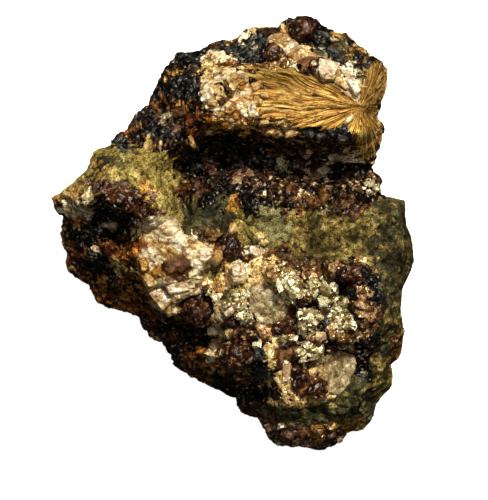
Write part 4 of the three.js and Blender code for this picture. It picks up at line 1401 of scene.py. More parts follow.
@dataclass
class Broken:
    """A mass whose faces are broken, before it is dressed.

    Attributes:
        mesh, points: The mass, and where its points lay before it was broken.
        middle, own: The middle of each point's grain or crystal, and its own number, from 0 to 1.
        coarse, fine: Its coarse and fine grains.
        rise, cracks: How far each point was moved, and how deep in a crack it lies, from 0 to 1.
    """

    mesh: Mesh
    points: Array
    middle: Array
    own: Array
    coarse: Grains
    fine: Grains
    rise: Array
    cracks: Array


@dataclass(frozen=True)
class Breakage:
    """How one kind of set mineral breaks and weathers.

    Attributes:
        mixture: The minerals that its grains show.
        blocks: Relief of its coarse grains.
        crumbs: Relief of its fine grains.
        voxel: Size of its small faces.
        light: How many of them stay.
        grow: How far it is widened to meet the rock.
        seam: Depth of the cracks.
        stain: How strongly rust veins it.
        crack_shade: How dark the painted shade in its cracks is, from 0 to 1.
        facets: How many flat facets there are for each small face.
        patches: The minerals whose patches show on it.
        pile: The crystals that stand on it.
    """

    mixture: tuple[Mineral, ...]
    blocks: Relief
    crumbs: Relief
    voxel: float = 0.23
    light: float = 0.6
    grow: float = 0.3
    seam: float = 0.0
    stain: float = 0.5
    crack_shade: float = 0.2
    facets: float = 0.07
    patches: tuple[Mineral, ...] = ()
    pile: Pile | None = None

    def softer(self) -> Breakage:
        """Makes the same breakage for small single crystals, which keep their own faces.

        Returns:
            The breakage.
        """
        blocks = replace(self.blocks, rise=self.blocks.rise * 0.25)
        crumbs = replace(self.crumbs, rise=self.crumbs.rise * 0.5)
        return replace(self, blocks=blocks, crumbs=crumbs, voxel=0.14, grow=0.0, seam=0.0, pile=None)

    def broken(self, shell: Mesh, seed: int) -> Broken:
        """Breaks the faces of a closed shell.

        Args:
            shell: The shell, which is used up.
            seed: Starting point.

        Returns:
            The broken mass.
        """
        crystals = np.empty((0, 4))
        if self.pile:
            shell, crystals = self.pile.grown(shell, seed + 50)
        mesh = remeshed(shell, self.voxel, 1)
        points = points_of(mesh)
        coarse = grains(points, self.blocks.size, self.blocks.seed + seed)
        middle, own = coarse.centre, coarse.chance
        nearest = np.full(len(points), UNSEEN)
        for number, (*place, size) in enumerate(crystals):
            away = np.linalg.norm(points - place, axis=1) / size
            closer = away < np.minimum(nearest, 0.75)
            nearest[closer] = away[closer]
            middle[closer] = place
            own[closer] = number * GOLDEN % 1
        fine = grains(points, self.crumbs.size, self.crumbs.seed + seed)
        cracks = 0.6 * self.blocks.cracks(coarse) + 0.6 * self.crumbs.cracks(fine)
        rise = self.blocks.height(coarse) + self.crumbs.height(fine) - self.seam * cracks
        rise += 0.05 * mottle(points, 0.6, 430)
        place_points(mesh, kept_in_box(points + normals_of(mesh) * (rise + self.grow)[:, None]))
        return Broken(faceted(mesh, self.facets), points, middle, own, coarse, fine, rise, cracks)

    def own_minerals(self, mass: Broken) -> Array:
        """Chooses the minerals of a broken mass.

        Args:
            mass: The mass.

        Returns:
            The mineral's number for each of its points.
        """
        mixture = np.array([NUMBERS[mineral] for mineral in self.mixture])
        chosen = mixture[((mass.own * 2.3 % 1) * len(mixture)).astype(int)]
        where = mass.points + (mass.middle - mass.points) * 0.75
        patched(chosen, where, mass.own, np.ones(len(where), bool), self.patches)
        return chosen

    def dress(self, mass: Broken, chosen: Array, seed: int) -> None:
        """Tints a broken mass, and paints shade into its hollows and cracks.

        Args:
            mass: The mass.
            chosen: The number of the mineral at each of its points.
            seed: Starting point.
        """
        points = mass.points
        blend = 0.9 * mottle(points, 1.8, 440 + seed) + 0.7 * mottle(points, 0.6, 450)
        chance = 0.15 + 0.45 * mass.own + 0.25 * mass.coarse.facet + 0.3 * mass.fine.facet
        # Painted highlight and shade: the tone is paler where the face stands out and darker where it sinks.
        colour = picked(chosen, held(chance + 0.12 * np.clip(mass.rise, -1, 1)), blend)
        veins = np.exp(-(mottle(points, 2.6, 460 + seed) / 0.07) ** 2)
        veins *= mottle(points, 5.0, 470 + seed) > 0.0
        clouds = np.clip(2.4 * mottle(points, 3.6, 480 + seed) - 1.5, 0, 0.35)
        rust = held((0.9 * veins + clouds + 0.7 * mass.cracks) * self.stain)[:, None]
        colour += (np.array(LOOKS[M.RUST].main, float) * 1.1 - colour) * rust
        # Painted shade: the tone darkens warmly in the hollows of the relief, more on dark minerals, and in
        # the cracks, and the metal fades there.
        painted_shade = held(-(mass.rise + 0.12) / FULL_SHADE_DEPTH) * (0.35 + 0.4 * (colour.mean(axis=1) < 140))
        painted_shade = np.maximum(painted_shade, self.crack_shade * held(mass.cracks))
        colour *= held(1 - painted_shade[:, None] * SHADE_TINT)
        rough = looked_up(chosen, "rough") + 0.3 * rust[:, 0] + 0.16 * (mass.own - 0.5)
        Dressing(colour, rough, looked_up(chosen, "metal") * (1 - painted_shade)).store(mass.mesh)


@dataclass
class SetMineral:
    """A mineral that sits in a pocket of the rock, as a broken or grown mass.

    Attributes:
        node: The node that it stands for.
        slot: Its material slot; not used.
        breakage: How it breaks.
        seed: Starting point.
    """

    node: str
    slot: str
    breakage: Breakage
    seed: int = 1

    def make(self, material: Material, ground: Ground) -> None:
        """Builds, dresses and fixes the mass.

        Args:
            material: Its finish.
            ground: The faces that grains stand on, which the mass joins.
        """
        mass = self.breakage.broken(node_copy(self.node), self.seed)
        chosen = self.breakage.own_minerals(mass)
        self.breakage.dress(mass, chosen, self.seed)
        ground.take(mass.mesh, chosen)
        piece = new_object(self.node + "_broken", thinned(mass.mesh, self.breakage.light))
        finish_piece(piece, material, [self.node])


# ---- what repeats


FOOT = 2.5  # height below which no grains grow
HIDDEN = (0.1, 3.5)  # depths between which a set mineral hides the rock


class Ground:
    """The dressed faces that grains stand on, and which mineral each spot of them shows.

    Attributes:
        meshes, kinds: The faces taken so far, the rock first, and the minerals' numbers at their points.
        skin: The rock's faces, ready for rays.
        mesh, points, chosen: All the faces as one, its points, and their minerals' numbers.
        lookup: Finds the point nearest to a place.
        open, level: Which points lie open to the sky, and how far up their faces look, from 0 to 1.
    """

    def __init__(self) -> None:
        """Starts with no faces."""
        self.meshes: list[Mesh] = []
        self.kinds: list[Array] = []

    def take(self, mesh: Mesh, chosen: Array) -> None:
        """Adds a copy of a face, and the number of the mineral at each of its points."""
        self.meshes.append(mesh.copy())
        self.kinds.append(chosen)

    def close(self) -> None:
        """Joins the faces and gets ready to look places up."""
        self.mesh = joined(self.meshes, "ground")
        self.chosen = np.concatenate(self.kinds)
        self.points = points_of(self.mesh)
        self.lookup = KDTree(len(self.points))
        for number, point in enumerate(self.points):
            self.lookup.insert(point, number)
        self.lookup.balance()
        self.open = self.bare()
        self.level = held((normals_of(self.mesh)[:, 2] - 0.1) / 0.4)

    def bare(self) -> Array:
        """Tells which points lie open to the sky, with no set mineral over them.

        Returns:
            True for each open point.
        """
        column, top = columns(self.points, 0.5)
        depth = top[column] - self.points[:, 2]
        rock = np.arange(len(self.points)) < len(self.kinds[0])
        covered = np.zeros(top.shape, bool)
        covered[column[0][~rock], column[1][~rock]] = True
        shallow, deep = HIDDEN
        return ~(rock & covered[column] & (depth > shallow) & (depth < deep))

    def mineral_at(self, places: Array) -> Array:
        """The number of the mineral nearest to each place."""
        return self.chosen[[self.lookup.find(place)[1] for place in places]]

    def growth(self, minerals: Sequence[Mineral], share: float) -> Array:
        """Tells how thickly grains of some minerals grow above the foot.

        Args:
            minerals: The minerals that they grow on.
            share: How thickly they grow on them, from 0 to 1.

        Returns:
            A number from 0 to 1 for each point.
        """
        wanted = np.array([mineral in minerals for mineral in MINERALS])
        grow = wanted[self.chosen] * looked_up(self.chosen, "crumbly") * share
        return grow * (self.open * self.level * (self.points[:, 2] > FOOT))


@dataclass
class GrainScatter:
    """Crystals or crumbs that grow on the faces of the specimen.

    Attributes:
        name: Name of the piece.
        slot: Its material slot.
        minerals: The minerals that they grow on and show.
        shapes: Corners of their forms, each about one unit across.
        size: Their smallest and largest size.
        gap: Smallest spacing.
        tilt: How far they lean off the face, in degrees.
        share: How thickly they grow, from 0 to 1.
        sink: How far their middles lie below the face.
        seed: Starting point.
        flow: The place that they point away from, if they don't lie anyhow.
    """

    name: str
    slot: str
    minerals: tuple[Mineral, ...]
    shapes: Sequence[Sequence[Sequence[float]]]
    size: tuple[float, float]
    gap: float
    tilt: float = 60.0
    share: float = 1.0
    sink: float = 0.2
    seed: int = 1
    flow: tuple[float, float, float] | None = None

    def tree(self, forms: Collection, material: Material) -> GeometryNodeTree:
        """Builds the nodes that grow the grains.

        Args:
            forms: The grains' forms.
            material: Their finish.

        Returns:
            The tree.
        """
        made = bpy.data.node_groups.new(self.name, "GeometryNodeTree")
        made.interface.new_socket("Face", in_out="INPUT", socket_type="NodeSocketGeometry")
        for name in ("Smallest", "Largest", "Gap", "Density", "Tilt", "Sink"):
            made.interface.new_socket(name, in_out="INPUT", socket_type="NodeSocketFloat")
        made.interface.new_socket("Seed", in_out="INPUT", socket_type="NodeSocketInt")
        made.interface.new_socket("Grains", in_out="OUTPUT", socket_type="NodeSocketGeometry")
        nodes = NodeTree(made)
        given = made.nodes.new("NodeGroupInput")
        entry = {socket.name: Shade(nodes, socket) for socket in given.outputs if socket.name}
        share = nodes.add("GeometryNodeInputNamedAttribute", {"data_type": "FLOAT"}, {"Name": "grow"})
        spread = nodes.add("GeometryNodeDistributePointsOnFaces", {"distribute_method": "POISSON"}, {
            "Mesh": entry["Face"], "Distance Min": entry["Gap"], "Density Max": entry["Density"],
            "Density Factor": share, "Seed": entry["Seed"]})
        upright = Shade(nodes, spread.socket.node.outputs["Rotation"])
        leans = [nodes.chance(entry["Tilt"] * -1, entry["Tilt"], seed) for seed in (1, 2)]
        spin = nodes.chance(0.0, 2 * math.pi, 3)
        if self.flow:
            outward = nodes.add("ShaderNodeVectorMath", {"operation": "SUBTRACT"}, {
                0: nodes.add("GeometryNodeInputPosition"), 1: [part * MM for part in self.flow]})
            upright = nodes.add("FunctionNodeAlignRotationToVector", {"axis": "X", "pivot_axis": "Z"}, {
                "Rotation": upright, "Vector": outward})
            spin = nodes.chance(entry["Tilt"] * -2, entry["Tilt"] * 2, 3)
        own = nodes.add("FunctionNodeEulerToRotation", {}, {
            0: nodes.add("ShaderNodeCombineXYZ", {}, {0: leans[0], 1: leans[1], 2: spin})})
        turned = nodes.add("FunctionNodeRotateRotation", {"rotation_space": "LOCAL"}, {0: upright, 1: own})
        spare = entry["Largest"] - entry["Smallest"]
        length = entry["Smallest"] + spare * nodes.chance(0.0, 1.0, 4) * nodes.chance(0.3, 1.0, 9)
        sunk = nodes.add("GeometryNodeSetPosition", {}, {
            "Geometry": spread, "Offset": nodes.add("ShaderNodeVectorMath", {"operation": "SCALE"}, {
                0: Shade(nodes, spread.socket.node.outputs["Normal"]), 3: entry["Sink"] * -1})})
        sizes = nodes.add("ShaderNodeCombineXYZ", {}, {
            0: length, 1: length * nodes.chance(0.75, 1.15, 7), 2: length * nodes.chance(0.7, 1.1, 8)})
        form = nodes.add("GeometryNodeCollectionInfo", {}, {0: forms, "Separate Children": True})
        last = len(self.shapes) - 1
        pick = nodes.add("FunctionNodeRandomValue", {"data_type": "INT"}, {4: 0, 5: last, "Seed": 5}, 2)
        placed = nodes.add("GeometryNodeInstanceOnPoints", {}, {
            "Points": sunk, "Instance": form, "Pick Instance": True, "Instance Index": pick,
            "Rotation": turned, "Scale": sizes})
        numbered = nodes.stored(placed, "chance", "FLOAT", nodes.chance(0.0, 1.0, 6))
        seated = nodes.stored(numbered, "seat", "FLOAT_VECTOR", nodes.add("GeometryNodeInputPosition"))
        real = nodes.add("GeometryNodeRealizeInstances", {}, {0: seated})
        dressed = nodes.add("GeometryNodeSetMaterial", {}, {0: real, "Material": material})
        nodes.add("NodeGroupOutput", {}, {0: dressed})
        return made

    def grown(self, ground: Mesh, grow: Array, material: Material) -> Mesh:
        """Grows the grains on a face.

        Args:
            ground: The face.
            grow: How thickly they grow at each of its points, from 0 to 1.
            material: Their finish.

        Returns:
            The grains, as one plain mesh.
        """
        forms = bpy.data.collections.new(self.name + "_forms")
        for number, corners in enumerate(self.shapes):
            form_name = f"{self.name}_form_{number:02d}"
            forms.objects.link(bpy.data.objects.new(form_name, hull(form_name, corners)))
        carrier = ground.copy()
        set_value(carrier, "grow", grow)
        piece = new_object(self.name + "_carrier", carrier)
        growth = piece.modifiers.new("growth", "NODES")
        growth.node_group = self.tree(forms, material)
        smallest, largest, gap, sink = (part * MM for part in (*self.size, self.gap, self.sink))
        values = {"Smallest": smallest, "Largest": largest, "Gap": gap, "Density": 2.0 / gap**2,
                  "Tilt": math.radians(self.tilt), "Sink": sink, "Seed": self.seed}
        for socket in growth.node_group.interface.items_tree:
            if socket.name in values:
                growth[socket.identifier] = values[socket.name]
        mesh = baked(piece, self.name)
        discard(piece)
        for form in list(forms.objects):
            discard(form)
        bpy.data.collections.remove(forms)
        return mesh

    def make(self, ground: Ground, material: Material) -> Object:
        """Grows, dresses and fixes the grains.

        Args:
            ground: The faces that they grow on.
            material: Their finish.

        Returns:
            The finished object.
        """
        mesh = self.grown(ground.mesh, ground.growth(self.minerals, self.share), material)
        chance = read_attribute(mesh, "chance", 1)[:, 0]
        seats = read_attribute(mesh, "seat", 3)
        starts = np.flatnonzero(np.any(np.diff(seats, axis=0, prepend=np.inf), axis=1))
        kinds = ground.mineral_at(seats[starts] / MM)
        chosen = np.repeat(kinds, np.diff(np.append(starts, len(seats))))
        points = place_in_box(mesh)
        colour = picked(chosen, (chance * 7.3) % 1, 0.4 * mottle(points, 0.8, 500))
        Dressing(colour, looked_up(chosen, "rough"), looked_up(chosen, "metal")).store(mesh)
        piece = new_object(self.name, mesh)
        finish_piece(piece, material)
        return piece


def read_attribute(mesh: Mesh, name: str, width: int) -> Array:
    """The numbers that Geometry Nodes stored for each point, one row each."""
    flat = np.empty(len(mesh.vertices) * width, np.float32)
    mesh.attributes[name].data.foreach_get("value" if width == 1 else "vector", flat)
    return flat.reshape(-1, width).astype(float)


# ---- the spray of fibres


@dataclass
class FibreSpray:
    """The radiating spray of tan fibres, and the loose fibres that lie on it.

    Attributes:
        node: The node that it stands for.
        centre: Where its fibres meet, in plan.
        root: Height at which they meet.
        reach: How far they reach from there, at bearings in degrees.
        bearings: How many radial lines its surface has.
        step: Spacing of the surface along a fibre.
        long: Reach past which the fibres end unevenly, and fade into the calcite.
        fade: How far past that reach they are wholly faded.
        pale, pale_half: The bearing that its pale fibres point to, and how far they spread to each side.
        lift: How far its surface lies above what it grew on.
        furrow: Depth of the furrows between fibres.
        skirt: How far its edge runs down into the rock.
        sky: Height from which its rest is felt for.
        ledge: Lowest height that it rests on.
        brink: Height at which it hangs where there is nothing to rest on.
        seed: Starting point.
    """

    node: str = "fibre_fan"
    centre: tuple[float, float] = (23.6, 23.6)
    root: float = 27.0
    reach: tuple[tuple[float, float], ...] = (
        (0, 3.2), (20, 3.4), (38, 5.2), (52, 8.2), (62, 9.6), (74, 8.8), (84, 6.0), (94, 2.8), (115, 2.4),
        (132, 3.0), (142, 6.8), (150, 11.8), (155, 18.5), (160, 21.0), (174, 21.5), (186, 20.0), (190, 16.6),
        (196, 12.8), (202, 10.8), (210, 8.0), (219, 6.2), (230, 4.8), (242, 4.8), (256, 6.0), (268, 7.6),
        (280, 9.4), (292, 9.0), (304, 6.4), (320, 4.2), (340, 3.2), (360, 3.2))
    bearings: int = 1400
    step: float = 0.52
    long: float = 14.0
    fade: float = 6.0
    pale: float = 114.0
    pale_half: float = 24.0
    lift: float = 0.3
    furrow: float = 0.22
    skirt: float = 1.2
    sky: float = 60.0
    ledge: float = 12.0
    brink: float = 18.0
    seed: int = 700

    def strands(self, bearing: Array, reach: Array) -> tuple[Array, Array]:
        """Height and tone of the fibres.

        Args:
            bearing: Direction from the centre.
            reach: Distance from the centre.

        Returns:
            The height, and the tone from -1 to 1, at each place.
        """
        def noise(first: Array, second: Array, size: float, number: int) -> Array:
            """Smooth noise over two measures."""
            return drift(np.stack([first, second, first * 0], axis=1), size, self.seed + number)

        def line(across: float, along: float, number: int) -> Array:
            """Noise that runs along the fibres."""
            return noise(swing * across, reach * along, 1.0, number)

        swing = bearing + 0.04 * noise(reach, bearing * 5, 5.0, 0)
        swing = swing + 0.014 * noise(reach, bearing * 20, 1.6, 7)
        tuft, strand, hair = line(7, 0.14, 1), line(36, 0.22, 2), line(104, 0.34, 3)
        broken = line(58, 0.6, 4)
        far = np.clip(reach / 7, 0.1, 1)
        height = 0.9 * tuft + 0.5 * strand + 0.5 * hair * far + 0.5 * broken * far
        tone = 0.15 * tuft + 0.3 * strand + 0.95 * hair + 0.7 * broken
        return height, tone

    def surface(self, skin: BVHTree) -> tuple[Mesh, Array, Array]:
        """Builds the sheet of fibres as a closed shell.

        Args:
            skin: The rock that it lies on.

        Returns:
            The mesh, the bearing of each of its points, and their distance from the centre.
        """
        solid = node_copy(self.node)
        top = skin_of(solid)
        bpy.data.meshes.remove(solid)
        count = self.bearings
        bearings = np.arange(count) * 2 * np.pi / count
        edge = np.interp(np.degrees(bearings), *zip(*self.reach))
        ring = np.stack([np.cos(bearings), np.sin(bearings), bearings * 0], axis=1)
        ragged = drift(ring * 9, 1.0, self.seed + 9) + 0.8 * drift(ring * 40, 1.0, self.seed + 11)
        edge = edge * (1 + np.where(edge > self.long, 0.2, 0.1) * ragged)
        rings = int(edge.max() / self.step)
        shares = np.arange(1, rings + 1) / rings
        reach = np.concatenate([[0.0], (shares[:, None] * edge[None, :]).ravel()])
        bearing = np.concatenate([[0.0], np.tile(bearings, rings)])
        plan = np.stack([self.centre[0] + np.cos(bearing) * reach, self.centre[1] + np.sin(bearing) * reach,
                         np.zeros_like(reach)], axis=1)
        for place in plan:
            place[2] = self.resting(place, top, skin)
        level = plan[1:, 2].reshape(rings, count)
        for _ in range(3):
            level = (level + np.roll(level, 1, axis=1) + np.roll(level, -1, axis=1)) / 3
            level[1:-1] = (level[:-2] + 2 * level[1:-1] + level[2:]) / 4
        height, _ = self.strands(bearing, reach)
        thin = 1 - held((np.tile(shares[:, None], (1, count)).ravel() - 0.8) / 0.2) ** 2 * 0.8
        plan[1:, 2] = level.ravel() + self.lift * thin
        plan[0, 2] = plan[1:count + 1, 2].mean()
        plan[:, 2] += self.furrow * height * np.clip(reach / 2, 0.15, 1)
        below = plan[-count:] - np.array([0, 0, self.skirt])
        plan = np.concatenate([plan, below, [[*self.centre, below[:, 2].min() - 0.5]]])
        faces = []
        for one in range(count):
            two = (one + 1) % count
            faces.append((0, 1 + one, 1 + two))
            for ring in range(rings):
                near, far = 1 + ring * count, 1 + (ring + 1) * count
                faces.append((near + one, far + one, far + two, near + two))
            faces.append((len(plan) - 1, 1 + rings * count + two, 1 + rings * count + one))
        mesh = mesh_from("fibre_spray", kept_in_box(plan), faces)
        spare = np.zeros(count + 1)
        return mesh, np.append(bearing, spare), np.append(reach, spare)

    def resting(self, place: Array, top: BVHTree, skin: BVHTree) -> float:
        """Finds what the spray rests on at a place, or just inside it where the rock ends.

        Args:
            place: The place.
            top: The spray's own solid.
            skin: The rock.

        Returns:
            The height.
        """
        for pull in (0, 0.03, 0.06, 0.1, 0.15, 0.22, 0.3):
            x = place[0] + (self.centre[0] - place[0]) * pull
            y = place[1] + (self.centre[1] - place[1]) * pull
            hits = [tree.ray_cast(Vector((x, y, self.sky)), Vector((0, 0, -1)))[0] for tree in (top, skin)]
            heights = [hit.z for hit in hits if hit is not None]
            if heights and max(heights) > self.ledge:
                return max(heights) - pull * 4
        return self.brink

    def dressing(self, points: Array, bearing: Array, tone: Array) -> Dressing:
        """Tans the fibres: green and dark where weathered, pale at the crown, faded at their far end.

        Args:
            points: The spray's points.
            bearing: Their directions from the centre.
            tone: The fibres' own tone.

        Returns:
            The dressing.
        """
        turn = np.degrees(bearing) % 360
        wander = 14 * drift(points, 0.9, self.seed + 40)
        pale = np.abs(turn + wander - self.pale) < self.pale_half
        chosen = np.where(pale, NUMBERS[M.PALE_FIBRE], NUMBERS[M.FIBRE])
        colour = picked(chosen, 0.52 + 0.62 * tone, 0.5 * mottle(points, 2.5, self.seed + 10))
        green = held(0.5 * mottle(points, 3.0, self.seed + 20) + (points[:, 1] - 24.5) * 0.2
                     - (points[:, 0] - 14) * 0.06)[:, None]
        colour += (np.array(WEATHERED, float) - colour) * green * 0.6
        stain = held(2.0 * mottle(points, 1.4, self.seed + 30) - 0.7)[:, None]
        colour += (np.array(RUSTY, float) - colour) * stain * 0.85
        away = np.linalg.norm(points[:, :2] - np.array(self.centre), axis=1)
        faded = (away - self.long) / self.fade + 1.1 * mottle(points, 1.1, self.seed + 60) - 0.25
        faded = np.clip(faded, 0, 0.85)[:, None]
        crumbs = np.where(mottle(points, 2.0, self.seed + 70) > 0.1, NUMBERS[M.CREAM], NUMBERS[M.OCHRE])
        stained = picked(crumbs, 0.5 + 0.4 * tone, 0.6 * mottle(points, 0.9, self.seed + 80))
        colour += (stained - colour) * faded
        rim = (points[:, 0] - self.centre[0] + 0.6) / 2 + 0.5 * mottle(points, 1.6, self.seed + 50)
        rim = held(rim)
        # Painted light: the lobe that hangs below the centre tilts away from the key lamp, and its colour is
        # made lighter.
        painted_lobe_light = held((self.centre[1] - points[:, 1] - 2) / 4)
        colour *= 1 - 0.14 * rim[:, None] + 0.5 * painted_lobe_light[:, None]
        return Dressing(colour, 0.5 - 0.1 * tone, np.zeros(len(points)))

    def make(self, material: Material, skin: BVHTree) -> None:
        """Builds, dresses and fixes the spray.

        Args:
            material: Its finish.
            skin: The rock that it lies on.
        """
        mesh, bearing, reach = self.surface(skin)
        points = points_of(mesh)
        _, tone = self.strands(bearing, reach)
        self.dressing(points, bearing, tone).store(mesh)
        self.tufts(mesh, material)
        finish_piece(new_object("fibre_spray", mesh), material, [self.node])

    def tufts(self, sheet: Mesh, material: Material) -> None:
        """Lays loose fibres on the sheet, which point away from the centre.

        Args:
            sheet: The dressed sheet.
            material: Its finish.
        """
        loose = GrainScatter("loose_fibres", "fibre", (M.FIBRE,), BLADES, (0.8, 3.0), 0.62, 3.5, sink=0.02,
                             seed=21, flow=(*self.centre, self.root))
        above = held((normals_of(sheet)[:, 2] - 0.3) * 2)
        mesh = loose.grown(sheet, above, material)
        chance = read_attribute(mesh, "chance", 1)[:, 0]
        points = place_in_box(mesh)
        away = points[:, :2] - np.array(self.centre)
        bearing = np.arctan2(away[:, 1], away[:, 0]) % (2 * np.pi)
        self.dressing(points, bearing, 1.1 * (chance - 0.3)).store(mesh)
        finish_piece(new_object(loose.name, mesh), material)


# ---- studio


@dataclass
class Studio:
    """Floor, lights and camera.

    Attributes:
        centre: The place that the camera looks down on.
        frame_height: How much the picture's height takes in.
        level: The height at which it takes in that much.
        distance: How far the camera hangs above the floor.
        floor_size: Width of the floor, in metres.
    """

    centre: tuple[float, float] = (2.25, -2.7)
    frame_height: float = 94.4
    level: float = 16.0
    distance: float = 500.0
    floor_size: float = 6.0

    def floor(self) -> None:
        """Lays the plain pale floor, which throws no light back on the specimen's walls."""
        half = self.floor_size / 2 / MM
        corners = np.array([[-half, -half, 0], [half, -half, 0], [half, half, 0], [-half, half, 0]])
        plane = new_object("floor", mesh_from("floor", corners, [(0, 1, 2, 3)]))
        paper = bpy.data.materials.new("pale_paper")
        paper.use_nodes = True
        nodes = NodeTree(paper.node_tree)
        where = nodes.add("ShaderNodeTexCoord", output="Object")
        tooth = nodes.add("ShaderNodeTexNoise", {}, {"Vector": where, "Scale": 900.0})
        white = nodes.mixed(tooth, (0.9, 0.9, 0.9, 1.0), (0.94, 0.94, 0.94, 1.0))
        shell = nodes.add("ShaderNodeBsdfPrincipled", {}, {"Base Color": white, "Roughness": 0.8})
        nodes.add("ShaderNodeOutputMaterial", {}, {"Surface": shell})
        plane.data.materials.append(paper)
        plane.visible_diffuse = False
        plane.visible_glossy = False
        self.paper = plane

    def lamp(self, name: str, place: Sequence[float], size: float, power: float,
             warmth: Sequence[float]) -> Object:
        """Hangs a soft lamp that points at the specimen.

        Args:
            name: The lamp's name.
            place: Where it hangs, in metres.
            size: Its width, in metres.
            power: Its power, in watts.
            warmth: Its colour.

        Returns:
            The lamp.
        """
        light = bpy.data.lights.new(name, "AREA")
        light.shape = "DISK"
        light.size = size
        light.energy = power
        light.color = warmth
        lamp = bpy.data.objects.new(name, light)
        lamp.location = place
        lamp.rotation_euler = (Vector((0, 0, 0.015)) - Vector(place)).to_track_quat("-Z", "Y").to_euler()
        bpy.context.scene.collection.objects.link(lamp)
        return lamp

    def wash(self) -> None:
        """Evens out the floor with a lamp of its own, so that the specimen's shadow on it stays light."""
        lamp = self.lamp("floor_wash", (0, 0, 1.6), 1.6, 24.0, (1.0, 1.0, 1.0))
        lit = bpy.data.collections.new("lit_by_wash")
        lit.objects.link(self.paper)
        lamp.light_linking.receiver_collection = lit
        lamp.light_linking.blocker_collection = lit

    def camera(self) -> None:
        """Hangs the camera straight above the specimen."""
        data = bpy.data.cameras.new("camera")
        data.sensor_width = 36.0
        data.lens = data.sensor_width * (self.distance - self.level) / self.frame_height
        camera = bpy.data.objects.new("camera", data)
        camera.location = (self.centre[0] * MM, self.centre[1] * MM, self.distance * MM)
        bpy.context.scene.collection.objects.link(camera)
        bpy.context.scene.camera = camera

    def build(self) -> None:
        """Sets up the whole studio."""
        self.camera()
        self.floor()
        self.lamp("key", (0.16, 0.44, 0.74), 0.16, 10.0, (1.0, 0.955, 0.875))
        self.lamp("overhead", (-0.1, 0.05, 1.1), 0.8, 2.4, (1.0, 1.0, 1.0))
        self.wash()
        world = bpy.data.worlds.new("room")
        world.use_nodes = True
        nodes = NodeTree(world.node_tree)
        sky = nodes.add("ShaderNodeBackground", {}, {"Color": (1.0, 0.97, 0.92, 1.0), "Strength": 0.07})
        nodes.add("ShaderNodeOutputWorld", {}, {"Surface": sky})
        bpy.context.scene.world = world
        bpy.context.scene.view_settings.view_transform = "Standard"
        bpy.context.scene.view_settings.look = "Medium High Contrast"
        log.info("studio: camera %.0f mm above the floor", self.distance)


# ---- the specimen


def write_sizes() -> None:
    """Updates the view layer."""
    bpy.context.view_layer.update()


@dataclass(frozen=True)
class Shard:
    """A crystal that stands out by itself.

    Attributes:
        mineral: What it is.
        x, y: Its place in plan.
        length, width, height: Its sizes.
        bearing: The way its length points, in degrees.
        lean: How far its upper face tips, in degrees, towards the bearing.
        taper: How far its upper face draws in.
    """

    mineral: Mineral
    x: float
    y: float
    length: float
    width: float
    height: float = 1.0
    bearing: float = 0.0
    lean: float = 0.0
    taper: float = 0.25


